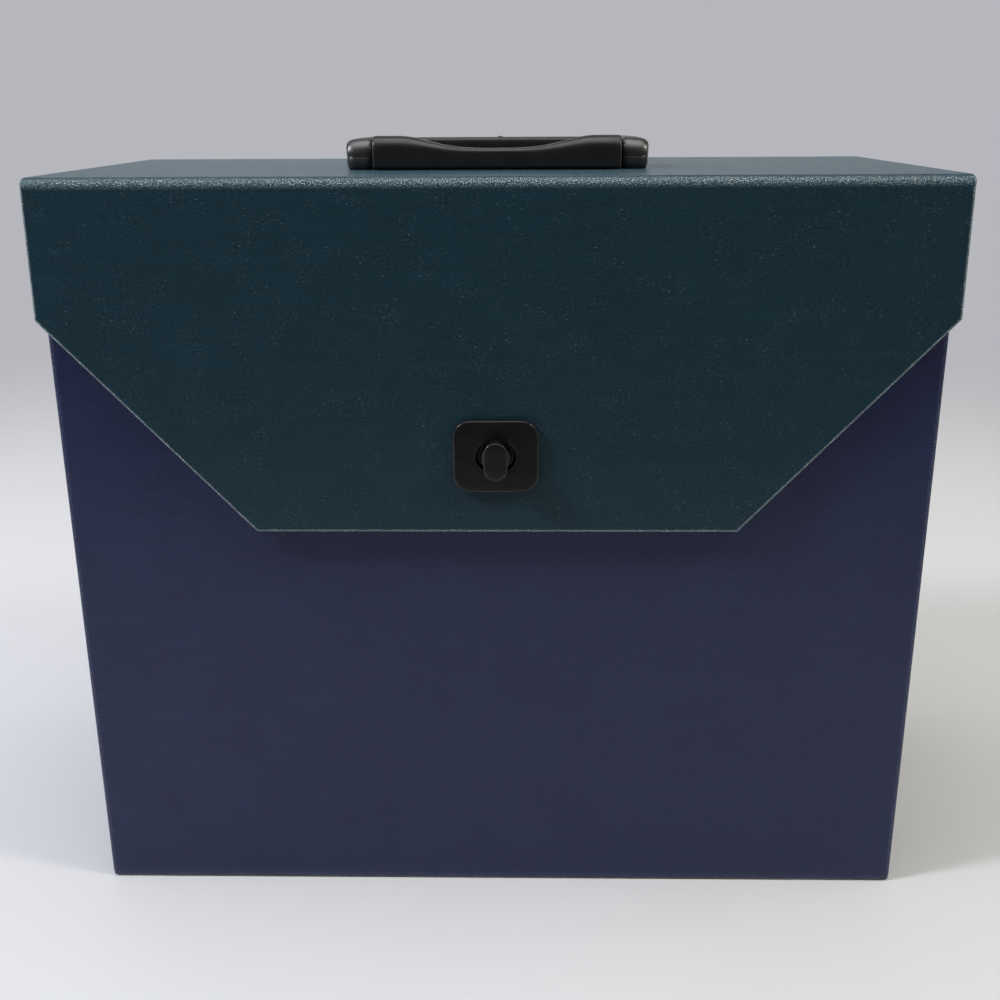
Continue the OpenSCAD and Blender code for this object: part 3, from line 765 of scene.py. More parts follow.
def lock_place():
    """The lock axis's place along the developed covering."""
    c = covering()
    _, end, _ = fold_lines()
    drop = (lid_top - c.fold_radius - lock_axis.z) / math.cos(c.flap_lean)
    return end + drop + c.fold_radius * math.tan(c.flap_lean)


def steps_between(a, b, step):
    count = max(1, round(abs(b - a) / step))
    return [a + (b - a) * i / count for i in range(count + 1)]


def find_material(name):
    return bpy.data.materials[name]


def dress(nodes, material):
    """Gives CAD nodes that are shown as they are their finish."""
    for name in nodes:
        node = frame["nodes"][name]
        node.data.materials.clear()
        node.data.materials.append(find_material(material))


def body_of(node):
    """The name of the body that carries a CAD node."""
    groups = frame["record"]["behaviour"]["bodies"]
    return next(name for name, members in groups.items() if node in members)


def seat(piece, nodes):
    """A finished piece rides on the body of the CAD nodes that it stands for."""
    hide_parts(*nodes)
    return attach(piece, body_of(nodes[0]))


# ---- Coverings ----

class CASE_OT_materials(bpy.types.Operator):
    """Makes the finishes that the case's pieces share"""

    bl_idname = "record_case.materials"
    bl_label = "Finishes"

    def execute(self, context):
        scene = context.scene
        c = scene.case_covering
        leatherette("grained_navy", c.navy, c, 0.16, 0.03, 0.3)
        leatherette("grained_green", c.green, c, 0.16, 0.17, 0.9)
        lining_paper(c)
        greyboard(c)
        # The last number sets how far edges are lightened by painted highlight with rubbing; the lock's,
        # highest, stands for its bright edge highlights.
        textured_plastic("textured_black_plastic", scene.case_handle, 0.34, 0.44, 0.6, 0.2)
        textured_plastic("lock_black_plastic", scene.case_handle, 0.22, 0.32, 0.28, 0.5)
        satin_plastic(scene.case_handle)
        plated_steel(scene.case_handle)
        painted_floor(scene.case_stage)
        return {"FINISHED"}


class CASE_OT_green_covering(bpy.types.Operator):
    """Covers the top panel, the fold and the flap with one green sheet, turned in all round"""

    bl_idname = "record_case.green_covering"
    bl_label = "Green covering"

    def execute(self, context):
        c = context.scene.case_covering
        thickness = lid_top - lid_under
        corner, under = 1.3 * MM, 0.5 * MM
        # The third number of each ring sets rubbing and painted highlight; the rounding rings' high values
        # draw the painted highlight line.
        profile = [(c.edge + 0.6 * MM, 0.0, 0.0), (c.edge + 0.15 * MM, 0.0, 0.35)]
        profile += [(inset, depth, 2.3) for inset, depth in quarter(c.edge, 6)]
        profile += [(0.0, thickness - under, 0.7)]
        profile += [(under - i, thickness - under + j, 0.6) for j, i in quarter(under, 3)[::-1]][1:]
        profile += [(under + 0.6 * MM, thickness, 0.0), (lid_turn_in - 0.05 * MM, thickness, 0.0)]
        sheet = FlatSheet()
        face = sheet.edged(cover_outline(), corner, 5, profile)[0]
        lock = context.scene.case_lock
        slack = 4.7 * MM
        hole = stadium(lock.hole_width + slack, lock.hole_height + slack, 48)
        hole = [(p.x, p.y + lock_place()) for p in hole]
        fill_between(sheet.mesh, face, sheet.ring(hole, 0.0, 0.0))
        start, end, foot = fold_lines()
        fine, wide, beside = 0.4 * MM, 12 * MM, 1.2 * MM
        sheet.cut(1, steps_between(start - beside, end + beside, fine))
        sheet.cut(1, steps_between(end + wide, foot - 8 * MM, wide))
        sheet.cut(0, steps_between(-lid_half_w + wide, lid_half_w - wide, wide))
        mesh = sheet.bent("green_covering", on_green, fold_highlight_and_wear)
        piece = sheet_object("green_covering", mesh, find_material("grained_green"), c.cloth)
        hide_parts("top_cover", "flap_cover")
        bend_at_fold(piece)
        return {"FINISHED"}


class CASE_OT_fold_lining(bpy.types.Operator):
    """Lines the inside of the fold, from the top panel's board down to the flap's"""

    bl_idname = "record_case.fold_lining"
    bl_label = "Fold lining"

    def execute(self, context):
        thickness = lid_top - lid_under
        start, end, _ = fold_lines()
        reach = 0.35 * MM
        below_cover = 0.9 * MM
        climb = [(0.0, thickness - 0.02 * MM), (reach * 0.5, thickness - 0.3 * MM)]
        climb += [(reach, below_cover + 0.8 * MM)]
        path = [(start + s, d) for s, d in climb]
        path += [(s, below_cover) for s in steps_between(start + 2.2 * reach, end - 2.2 * reach, 0.4 * MM)]
        path += [(end - s, d) for s, d in climb[::-1]]
        half = lid_half_w - 2.2 * MM
        paper, tucked = 0.3 * MM, 0.05 * MM
        across = steps_between(-half, half, 24 * MM)
        rings = []
        for s, d in path:
            inner = d - paper if d < 1 * MM else d - tucked
            rings.append([on_cover(u, s, d) for u in across] + [on_cover(u, s, inner) for u in across[::-1]])
        piece = to_object("fold_lining", mesh_of("fold_lining", skin(rings)), find_material("fibrous_paper"))
        bend_at_fold(piece)
        return {"FINISHED"}


def body_ring(x, y, z, radius, steps=5):
    """A level ring of points round the body, with a point close to each side of its round corners."""
    corners = rectangle(x, y)
    near = 1.4 * MM
    arcs = rounded_outline(corners, 0.0, radius, steps)
    points = []
    for i, corner in enumerate(corners):
        group = arcs[i * (steps + 1):(i + 1) * (steps + 1)]
        before = (Vector(corner) - Vector(corners[i - 1])).normalized()
        after = (Vector(corners[(i + 1) % 4]) - Vector(corner)).normalized()
        points += [group[0] - before * near, *group, group[-1] + after * near]
    return [(p.x, p.y, z) for p in points]


class CASE_OT_body_wrap(bpy.types.Operator):
    """Wraps the body's walls in navy, over the rim and down inside, and turns it in under the bottom"""

    bl_idname = "record_case.body_wrap"
    bl_label = "Body wrap"

    lift = 0.22 * MM
    bottom_edge = 1.4 * MM
    bottom_corner = 2.5 * MM
    turned_under = 7 * MM
    rim_edge = 0.6 * MM
    tall_wall = 100 * MM

    def execute(self, context):
        c = context.scene.case_covering
        profile = self.profile()
        rings = [self.ring(c, inset, z) for inset, z, _ in profile]
        mesh = self.walls(profile, rings)
        piece = sheet_object("body_wrap", mesh, find_material("grained_navy"), c.cloth)
        seat(piece, ["body_cover"])
        self.bottom_sheet()
        return {"FINISHED"}

    def profile(self):
        """Rings from under the bottom, up the outside and down the inside, as (inset, height, rubbing and
        painted highlight).
        """
        wall = body_half_w - inside_half_w
        profile = [(self.turned_under, self.lift, 0.0), (self.bottom_edge + 0.7 * MM, self.lift, 0.0)]
        profile += [(inset, self.lift + rise, 0.35) for inset, rise in quarter(self.bottom_edge, 6)]
        profile += [(0.0, 4 * MM, 0.05), (0.0, 8 * MM, 0.0)]
        profile += [(0.0, rim - 6 * MM, 0.0), (0.0, rim - 2 * MM, 0.2)]
        profile += [(inset, rim - rise, 0.9) for inset, rise in quarter(self.rim_edge, 4)[::-1]]
        profile += [(wall - inset, rim - rise, 0.9) for inset, rise in quarter(self.rim_edge, 4)]
        return profile + [(wall, rim - 4 * MM, 0.1), (wall, rim - rim_turn_in, 0.0)]

    def ring(self, c, inset, z):
        """One level ring, drawn in at the left and right where the bottom's corners are round."""
        half_d = (body_back - body_front) / 2
        drawn = inset
        if z < self.bottom_corner and inset <= self.bottom_edge:
            drawn = self.bottom_corner - math.sqrt(self.bottom_corner ** 2 - (self.bottom_corner - z) ** 2)
        radius = max(c.edge - inset, 0.3 * MM) if inset < 2 * MM else 0.35 * MM
        return body_ring(body_half_w - max(inset, drawn), half_d - inset, z, radius)

    def walls(self, profile, rings):
        """The mesh through the rings, with the spindle's hole in its front."""
        mesh = bmesh.new()
        place = mesh.verts.layers.float_vector.new("sheet")
        worn_and_highlight = mesh.verts.layers.float.new("edge")
        wall = body_half_w - inside_half_w
        count = len(rings[0])
        steps = count // 4
        round_it = [0.0]
        longest = rings[len(rings) // 2]
        for i in range(1, count):
            round_it.append(round_it[-1] + (Vector(longest[i]) - Vector(longest[i - 1])).length)
        rows = []
        for (inset, z, wear_and_highlight), ring in zip(profile, rings):
            row = [mesh.verts.new(p) for p in ring]
            upward = z if inset < wall / 2 else 2 * rim - z
            for i, vert in enumerate(row):
                # Painted highlight with rubbing: the round vertical corners are marked to be lightened, for
                # the light they catch.
                on_corner = 0 < i % steps < steps - 1
                vert[place] = (round_it[i], upward, 0.0)
                vert[worn_and_highlight] = max(wear_and_highlight, 0.55 if on_corner else 0.0)
            rows.append(row)
        front = next(k for k in range(len(rows) - 1) if profile[k + 1][1] - profile[k][1] > self.tall_wall)
        for k in range(len(rows) - 1):
            for i in range(count):
                j = (i + 1) % count
                if (k, i) != (front, steps - 1):
                    mesh.faces.new((rows[k][i], rows[k][j], rows[k + 1][j], rows[k + 1][i]))
        low_row, high_row = rows[front], rows[front + 1]
        panel = [low_row[steps - 1], low_row[steps], high_row[steps], high_row[steps - 1]]
        slack = 0.12 * MM
        bore = high("lock_spindle").x + slack
        hole = [mesh.verts.new((lock_axis.x + p.x, body_front, lock_axis.z + p.y)) for p in circle(bore, 32)]
        for vert in hole:
            vert[place] = (vert.co.x + round_it[steps - 1] + body_half_w, vert.co.z, 0.0)
        fill_between(mesh, panel, hole)
        bmesh.ops.recalc_face_normals(mesh, faces=mesh.faces)
        face = max(mesh.faces, key=lambda f: f.calc_area())
        if face.normal.dot(face.calc_center_median() - Vector((0, 0, rim / 2))) < 0:
            bmesh.ops.reverse_faces(mesh, faces=mesh.faces)
        made = bpy.data.meshes.new("body_wrap")
        mesh.to_mesh(made)
        mesh.free()
        return made

    def bottom_sheet(self):
        """The separate sheet that closes the bottom, over the wrap's turned-in edge."""
        margin, corner, thin = 4.5 * MM, 3 * MM, 0.24 * MM
        half_d = (body_back - body_front) / 2
        profile = [(0.8 * MM, 0.0, 0.0), (0.2 * MM, 0.0, 0.3), (0.05 * MM, 0.05 * MM, 0.6), (0.0, thin, 0.3)]
        sheet = FlatSheet()
        rings = sheet.edged(rectangle(body_half_w - margin, half_d - margin), corner, 6, profile)
        fill_between(sheet.mesh, rings[0])
        fill_between(sheet.mesh, rings[-1])
        mesh = sheet.bent("bottom_sheet", lambda u, s, d: Vector((u, s, d)))
        piece = to_object("bottom_sheet", mesh, find_material("grained_navy"))
        seat(piece, ["bottom_cover"])


class CASE_OT_back_strip(bpy.types.Operator):
    """Runs the green covering from the top panel's rear edge down the back as the hinge"""

    bl_idname = "record_case.back_strip"
    bl_label = "Hinge strip"

    def execute(self, context):
        half = high("back_hinge_strip").x
        foot = low("back_hinge_strip").z
        head = lid_top - 1.3 * MM
        face = lid_back + 0.02 * MM
        middle = (foot + head) / 2
        corner = 1.5 * MM
        profile = [(0.9 * MM, 0.0, 0.0), (0.3 * MM, 0.0, 0.4), (0.08 * MM, 0.06 * MM, 0.8)]
        profile += [(0.0, 0.2 * MM, 0.6), (0.0, lid_back - body_back, 0.0)]
        sheet = FlatSheet()
        rings = sheet.edged(rectangle(half, (head - foot) / 2), corner, 5, profile)
        fill_between(sheet.mesh, rings[0])
        fill_between(sheet.mesh, rings[-1])
        crease = rim - middle
        crease_width, crease_depth, skin_depth = 0.55 * MM, 0.16 * MM, 0.15 * MM
        sheet.cut(1, steps_between(crease - 2 * MM, crease + 1.6 * MM, 0.3 * MM))
        sheet.cut(0, steps_between(-half + 16 * MM, half - 16 * MM, 16 * MM))

        def on_back(u, s, d):
            groove = math.exp(-((s - crease) / crease_width) ** 2) if d < skin_depth else 0.0
            return Vector((u, face - d - crease_depth * groove, middle + s))

        mesh = sheet.bent("hinge_strip", on_back)
        piece = to_object("hinge_strip", mesh, find_material("grained_green"))
        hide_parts("back_hinge_strip")
        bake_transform(piece)
        return {"FINISHED"}


class CASE_OT_boards(bpy.types.Operator):
    """Gives the boards and the paper linings their finish"""

    bl_idname = "record_case.boards"
    bl_label = "Boards and linings"

    def execute(self, context):
        boards = [n for n in frame["nodes"] if n.endswith("_board")]
        linings = [n for n in frame["nodes"] if n.endswith("_lining")]
        dress(boards, "pulp_board")
        dress(linings, "fibrous_paper")
        return {"FINISHED"}


# ---- The turn lock ----

def ringed_plate(outlines, close=True):
    """A shell through outlines given as (points, depth); the last joins the first where close is set."""
    rings = [[(p[0], p[1], depth) for p in points] for points, depth in outlines]
    return skin(rings, joined=close)


def carried(shell, to_space):
    points, faces = shell
    return [tuple(to_space(*p)) for p in points], faces


def on_flap_front(x, up, out):
    """A point of the lock plate: x across, up from the lock's axis, out from the flap's face."""
    return on_cover(x, lock_place() - up, -out)


def on_lock_axis(x, up, out):
    """A point of the lock base or the knob: out is measured forward from the body's front."""
    return Vector((lock_axis.x + x, body_front - out, lock_axis.z + up))


class CASE_OT_lock(bpy.types.Operator):
    """Makes the lock plate, the base with its oval boss, and the knob"""

    bl_idname = "record_case.lock"
    bl_label = "Turn lock"

    def execute(self, context):
        lock = context.scene.case_lock
        black = find_material("lock_black_plastic")
        seat(self.plate(lock, black), ["lock_plate"])
        seat(self.base(lock, black), ["lock_base"])
        seat(self.knob(lock, black), ["lock_knob"])
        steel = [
            "lock_back_washer", "lock_inner_plate", "lock_spring_washer", "lock_spindle", "lock_retainer",
        ]
        dress(steel, "brushed_plating")
        return {"FINISHED"}

    def plate(self, lock, material):
        """A plate with a rounded front edge, a slightly crowned face and an oval hole with a soft rim."""
        half_w, half_h = plate_half_w, lock.plate_height / 2
        depth, corner = lock.plate_depth, lock.plate_corner
        back_edge, rim_edge, crown = 0.3 * MM, 0.3 * MM, 0.12 * MM
        outlines = [(soft_rectangle(half_w - back_edge, half_h - back_edge, corner), 0.0)]
        outlines += [(soft_rectangle(half_w, half_h, corner), back_edge)]
        for inset, sunk in quarter(lock.plate_edge, 7)[::-1]:
            points = soft_rectangle(half_w - inset, half_h - inset, corner - inset * 0.8)
            outlines.append((points, depth - crown - sunk))
        hole = stadium(lock.hole_width + 2 * rim_edge, lock.hole_height + 2 * rim_edge)
        last = outlines[-1][0]
        for k in (0.15, 0.5, 0.85):
            points = [a.lerp(b, k) for a, b in zip(last, hole)]
            outlines.append((points, depth - crown * (1 - k) ** 2))
        for inset, sunk in quarter(rim_edge, 4):
            grow = 2 * inset if sunk < rim_edge else 0.0
            outlines.append((stadium(lock.hole_width + grow, lock.hole_height + grow), depth - sunk))
        outlines.append((stadium(lock.hole_width, lock.hole_height), 0.0))
        shell = carried(ringed_plate(outlines), on_flap_front)
        return to_object("lock_plate_front", mesh_of("lock_plate_front", shell), material)

    def base(self, lock, material):
        """The flange on the body, and the boss that fills the flap's hole, bored for the spindle."""
        half_w = high("lock_base").x
        half_h = (high("lock_base").z - low("lock_base").z) / 2
        top = body_front - low("lock_base").y
        flange, corner, flange_edge = 1.5 * MM, 4 * MM, 0.35 * MM
        boss_edge, recess, lip, clearance = 0.55 * MM, 0.5 * MM, 1.3 * MM, 0.1 * MM
        hole = circle(high("lock_spindle").x + clearance)

        def boss(inset):
            return stadium(lock.boss_width - 2 * inset, lock.boss_height - 2 * inset)

        outlines = [(hole, 0.0), (soft_rectangle(half_w, half_h, corner), 0.0)]
        for inset, sunk in quarter(flange_edge, 3)[::-1]:
            outlines.append((soft_rectangle(half_w - inset, half_h - inset, corner - inset), flange - sunk))
        outlines.append((boss(0.0), flange))
        for inset, sunk in quarter(boss_edge, 5)[::-1]:
            outlines.append((boss(inset), top - sunk))
        outlines += [(boss(lip), top), (boss(lip + 0.4 * MM), top - recess), (hole, top - recess)]
        shell = carried(ringed_plate(outlines), on_lock_axis)
        return to_object("lock_base_boss", mesh_of("lock_base_boss", shell), material)

    def knob(self, lock, material):
        """The grip, with a softly rounded front and a waist below, and the collar that carries it."""
        front = body_front - low("lock_knob").y
        inner_end = body_front - high("lock_knob").y
        edge, depth = lock.knob_edge, 6.4 * MM
        back_edge, waist = 0.4 * MM, 0.05 * MM
        back = front - depth

        def grip(inset):
            return quarter_turned(stadium(lock.knob_length - 2 * inset, lock.knob_width - 2 * inset))

        collar_radius, bevel = 6 * MM, 0.96
        collar = quarter_turned(circle(collar_radius))
        narrow = [a.lerp(b, 0.5) if a.length > b.length else b for a, b in zip(grip(back_edge), collar)]
        outlines = [([p * bevel for p in collar], inner_end), (collar, inner_end), (collar, back)]
        outlines.append((narrow, back + 0.02 * MM))
        for inset, sunk in quarter(back_edge, 3):
            outlines.append((grip(inset), back + waist + sunk))
        outlines.append((grip(0.0), front - edge - 0.15 * MM))
        for inset, sunk in quarter(edge, 6)[::-1]:
            outlines.append((grip(inset), front - 0.12 * MM - sunk))
        outlines.append((grip(edge + 0.9 * MM), front - 0.03 * MM))
        outlines.append((grip(edge + 2.4 * MM), front))
        shell = carried(ringed_plate(outlines, close=False), on_lock_axis)
        return to_object("lock_knob_grip", mesh_of("lock_knob_grip", shell), material)


# ---- The handle ----

class CASE_OT_handle(bpy.types.Operator):
    """Makes the scooped bail with its hinge bar, and the two end posts"""

    bl_idname = "record_case.handle"
    bl_label = "Handle"

    def execute(self, context):
        h = context.scene.case_handle
        self.bail(h)
        for name, side in (("left", -1), ("right", 1)):
            self.post(h, name, side)
        dress(["handle_pins", "handle_backing_plate"], "brushed_plating")
        return {"FINISHED"}

    def bail(self, h):
        shells = [self.grip(h), self.bar(h), self.arm(h, -1), self.arm(h, 1), self.gate(h)]
        piece = to_object("bail", mesh_of("bail", *shells), find_material("textured_black_plastic"))
        seat(piece, ["handle_bail"])

    def scoop_share(self, h, x):
        """How far the scoop has dropped the grip's top at x, from 0 to 1."""
        fullness = 1.65
        return (1 + math.cos(math.pi * min(1.0, abs(x) / h.scoop_half) ** fullness)) / 2

    def section(self, h, x, inset):
        """The grip's outline at x, as points of (y, z): a flat front, a rolled top and a hollow back."""
        front = low("handle_bail").y
        base = low("handle_bail").z
        top = high("handle_bail").z
        dropped = self.scoop_share(h, x)
        y0, y1 = front + inset, front + h.grip_depth - inset
        z0, z1 = base + inset, top - h.scoop * dropped - inset
        nose = (5.4 - 3.5 * dropped) * MM
        back = (3.0 - 1.4 * dropped) * MM
        foot = 1.6 * MM
        steps = 10
        points = []
        for cy, cz, r, first in (
            (y1 - back, z1 - back, back, 0), (y0 + nose, z1 - nose, nose, 90),
            (y0 + foot, z0 + foot, foot, 180), (y1 - foot, z0 + foot, foot, 270),
        ):
            for k in range(steps + 1):
                turn = math.radians(first + 90 / steps * k)
                points.append((cy + r * math.cos(turn), cz + r * math.sin(turn)))
        return points

    def grip(self, h):
        soft = 0.7 * MM
        ends = [(-bail_half + sunk, inset) for inset, sunk in quarter(soft, 4)]
        middle = steps_between(-bail_half + soft, bail_half - soft, 0.9 * MM)[1:-1]
        stations = ends + [(x, 0.0) for x in middle] + [(-x, inset) for x, inset in ends[::-1]]
        rings = [[(x, y, z) for y, z in self.section(h, x, inset)] for x, inset in stations]
        return skin(rings)

    def bar(self, h):
        """The hinge bar, with a squarish top front and stepped ends, bored for the steel pins."""
        r = h.bar_radius
        neck = r - 1.4 * MM
        shoulder = bail_half - 0.3 * MM
        tip = post_inner - 0.3 * MM
        bore, bevel, round_off = 1.6 * MM, 0.3 * MM, 0.5 * MM
        deep = bail_half - 9 * MM
        square, count = 6.0, 96
        profile = [(deep, 0.02 * MM), (deep, bore), (tip, bore), (tip, neck - bevel), (tip - bevel, neck)]
        profile += [(shoulder, neck), (shoulder, r - round_off), (shoulder - round_off, r)]
        profile += [(x, r) for x in (40 * MM, 20 * MM)]
        rings = []
        for x, radius in [(-x, radius) for x, radius in profile] + profile[::-1]:
            ring = []
            for i in range(count):
                across, up = -math.cos(math.tau * i / count), math.sin(math.tau * i / count)
                reach = radius
                if across < 0 < up and radius > neck:
                    reach = radius / (abs(across) ** square + up ** square) ** (1 / square)
                ring.append((x, handle_axis.y + reach * across, handle_axis.z + reach * up))
            rings.append(ring)
        return skin(rings)

    def arm(self, h, side):
        """An arm from the grip back into the hinge bar, its edges softened and its top falling away."""
        set_in = 0.3 * MM
        half_w = h.arm_width / 2 - set_in
        middle = side * (bail_half - h.arm_width / 2)
        front = low("handle_bail").y + h.grip_depth / 2
        back = handle_axis.y - 3.2 * MM
        foot, top = low("handle_bail").z + 0.4 * MM, high("handle_bail").z - 0.35 * MM
        lift, fall, soft = 0.4 * MM, 0.75 * MM, 1.6 * MM
        steps = 12
        rings = []
        for k in range(steps + 1):
            t = k / steps
            y = front + (back - front) * t
            z0 = foot + lift * t
            half_h = (top - fall * t * t - z0) / 2
            ring = soft_rectangle(half_w, half_h, soft, 64)
            rings.append([(middle + p.x, y, z0 + half_h + p.y) for p in ring])
        return skin(rings)

    def gate(self, h):
        """The small oval nub that the mould's gate left on the bar."""
        x, radius, flatness = 0.9 * MM, 1.3 * MM, 0.7
        top = handle_axis.z + h.bar_radius
        rings = []
        for rise, part in ((-0.8, 1.0), (0.1, 1.0), (0.3, 0.85), (0.4, 0.5), (0.42, 0.05)):
            points = circle(radius * part, 20)
            rings.append([(x + p.x, handle_axis.y + p.y * flatness, top + rise * MM) for p in points])
        return skin(rings)

    def post(self, h, name, side):
        """One end post: a drafted lower half, and a crowned cap that falls away to its outer side."""
        middle = Vector((side * (post_inner + post_outer) / 2, (post_front + post_back) / 2))
        half = Vector(((post_outer - post_inner) / 2, (post_back - post_front) / 2))
        for part, rings in (
            ("base", self.post_base(middle, half)),
            ("cap", self.post_cap(middle, half, side, lid_top + h.base_height)),
        ):
            shown = f"post_{part}_{name}"
            piece = to_object(shown, mesh_of(shown, skin(rings)), find_material("satin_black_plastic"))
            seat(piece, [f"handle_{part}_{name}"])

    def post_base(self, middle, half):
        """Rings up the lower half, from heights and insets in millimetres."""
        corner, count = 3.0, 80
        draft = [(0.0, 1.5), (0.2, 1.0), (0.7, 0.55), (1.5, 0.25), (2.6, 0.1), (5.3, 0.08), (5.6, 0.3)]
        rings = []
        for z, inset in draft:
            points = soft_rectangle(
                half.x - inset * MM, half.y - inset * MM, (corner - inset * 0.5) * MM, count,
            )
            rings.append([(middle.x + p.x, middle.y + p.y, lid_top + z * MM) for p in points])
        return rings

    def post_cap(self, middle, half, side, joint):
        """Rings up the cap, rounded over its ends more than over its sides."""
        crown, fall_from = 0.9 * MM, 1.5 * MM
        height = post_top - joint
        side_r, end_r, end_rise = 2.5 * MM, 6.5 * MM, height - 0.6 * MM
        corner, least_corner, count, steps = 3.0 * MM, 0.5 * MM, 80, 14
        profile = [(0.25 * MM, 0.25 * MM, 0.0), (0.0, 0.0, 0.22 * MM)]
        for k in range(steps + 1):
            turn = math.pi / 2 * k / steps
            rise = height - end_rise * (1 - math.sin(turn))
            over = max(0.0, 1 - (height - rise) / side_r)
            profile.append((side_r * (1 - math.sqrt(1 - over * over)), end_r * (1 - math.cos(turn)), rise))
        profile.append((side_r + 1.2 * MM, end_r + 1.5 * MM, height))
        rings = []
        for inset_x, inset_y, rise in profile:
            radius = max(corner - inset_x * 0.6, least_corner)
            lift = max(rise - fall_from, 0.0) / (height - fall_from)
            ring = []
            for p in soft_rectangle(half.x - inset_x, half.y - inset_y, radius, count):
                outward = (p.x * side + half.x) / (2 * half.x)
                drop = crown * outward ** 1.6 * lift
                ring.append((middle.x + p.x, middle.y + p.y, joint + rise - drop))
            rings.append(ring)
        return rings


# ---- Fasteners ----

def fastener_tree():
    """A node tree that sets a domed head with a shank, with or without a cross recess, on each point."""
    tree = bpy.data.node_groups.new("fasteners", "GeometryNodeTree")
    face = tree.interface
    face.new_socket("Points", in_out="INPUT", socket_type="NodeSocketGeometry")
    for name, default in (
        ("Head radius", 2 * MM), ("Head height", 0.7 * MM),
        ("Shank radius", 1 * MM), ("Shank length", 3 * MM),
    ):
        face.new_socket(name, in_out="INPUT", socket_type="NodeSocketFloat").default_value = default
    face.new_socket("Axis", in_out="INPUT", socket_type="NodeSocketVector").default_value = (0, 0, 1)
    face.new_socket("Cross recess", in_out="INPUT", socket_type="NodeSocketBool")
    face.new_socket("Material", in_out="INPUT", socket_type="NodeSocketMaterial")
    face.new_socket("Fasteners", in_out="OUTPUT", socket_type="NodeSocketGeometry")
    given = add_node(tree, "NodeGroupInput").outputs
    radius, height = given["Head radius"], given["Head height"]

    def times(a, b, operation="MULTIPLY"):
        return math_node(tree, operation, a, b)

    def vector(x, y, z):
        return add_node(tree, "ShaderNodeCombineXYZ", {0: x, 1: y, 2: z}).outputs[0]

    ball = add_node(tree, "GeometryNodeMeshUVSphere", {"Segments": 32, "Rings": 16, "Radius": radius})
    flat = vector(1.0, 1.0, times(height, radius, "DIVIDE"))
    dome = add_node(tree, "GeometryNodeTransform", {"Geometry": ball.outputs[0], "Scale": flat}).outputs[0]
    slot_length, slot_width, slot_rise = 1.15, 0.26, 0.85
    bars = []
    for across, along in ((slot_length, slot_width), (slot_width, slot_length)):
        size = vector(times(radius, across), times(radius, along), height)
        bar = add_node(tree, "GeometryNodeMeshCube", {"Size": size}).outputs[0]
        up = vector(0.0, 0.0, times(height, slot_rise))
        bars.append(add_node(tree, "GeometryNodeTransform", {"Geometry": bar, "Translation": up}).outputs[0])
    cut = add_node(tree, "GeometryNodeMeshBoolean", operation="DIFFERENCE")
    tree.links.new(dome, cut.inputs["Mesh 1"])
    for bar in bars:
        tree.links.new(bar, cut.inputs["Mesh 2"])
    head = add_node(tree, "GeometryNodeSwitch", {
        "Switch": given["Cross recess"], "False": dome, "True": cut.outputs[0],
    }, input_type="GEOMETRY").outputs[0]
    rod = add_node(tree, "GeometryNodeMeshCylinder", {
        "Vertices": 24, "Radius": given["Shank radius"], "Depth": given["Shank length"],
    }).outputs["Mesh"]
    down = vector(0.0, 0.0, times(given["Shank length"], -0.5))
    rod = add_node(tree, "GeometryNodeTransform", {"Geometry": rod, "Translation": down}).outputs[0]
    whole = add_node(tree, "GeometryNodeJoinGeometry")
    tree.links.new(head, whole.inputs[0])
    tree.links.new(rod, whole.inputs[0])
    turned = add_node(tree, "FunctionNodeAlignRotationToVector", {"Vector": given["Axis"]}).outputs[0]
    placed = add_node(tree, "GeometryNodeInstanceOnPoints", {
        "Points": given["Points"], "Instance": whole.outputs[0], "Rotation": turned,
    }).outputs[0]
    real = add_node(tree, "GeometryNodeRealizeInstances", {"Geometry": placed}).outputs[0]
    set_finish = add_node(tree, "GeometryNodeSetMaterial", {"Geometry": real, "Material": given["Material"]})
    out = add_node(tree, "NodeGroupOutput")
    tree.links.new(set_finish.outputs[0], out.inputs[0])
    return tree


def fasteners(name, tree, points, **values):
    """A plain mesh of fasteners set on points by the node tree."""
    mesh = bpy.data.meshes.new(name + "_points")
    mesh.from_pydata([tuple(p) for p in points], [], [])
    holder = bpy.data.objects.new(name + "_points", mesh)
    bpy.context.scene.collection.objects.link(holder)
    modifier = holder.modifiers.new("fasteners", "NODES")
    modifier.node_group = tree
    sockets = {s.name: s.identifier for s in tree.interface.items_tree if s.in_out == "INPUT"}
    for key, value in values.items():
        modifier[sockets[key.replace("_", " ")]] = value
    graph = bpy.context.evaluated_depsgraph_get()
    made = bpy.data.meshes.new_from_object(holder.evaluated_get(graph), depsgraph=graph)
    bpy.data.objects.remove(holder)
    return to_object(name, made, find_material("brushed_plating"), sharp=math.radians(50))


def solid_centres(node):
    """The middle of each separate solid in a CAD node, from left to right."""
    mesh = bmesh.new()
    mesh.from_mesh(frame["nodes"][node].data)
    bmesh.ops.remove_doubles(mesh, verts=mesh.verts, dist=1e-6)
    left = set(mesh.verts)
    centres = []
    while left:
        found, edge = set(), [left.pop()]
        while edge:
            vert = edge.pop()
            found.add(vert)
            for other in (e.other_vert(vert) for e in vert.link_edges):
                if other in left:
                    left.remove(other)
                    edge.append(other)
        lows = Vector([min(v.co[i] for v in found) for i in range(3)])
        highs = Vector([max(v.co[i] for v in found) for i in range(3)])
        centres.append((lows + highs) / 2)
    mesh.free()
    return sorted(centres, key=lambda p: [round(part, 5) for part in p])


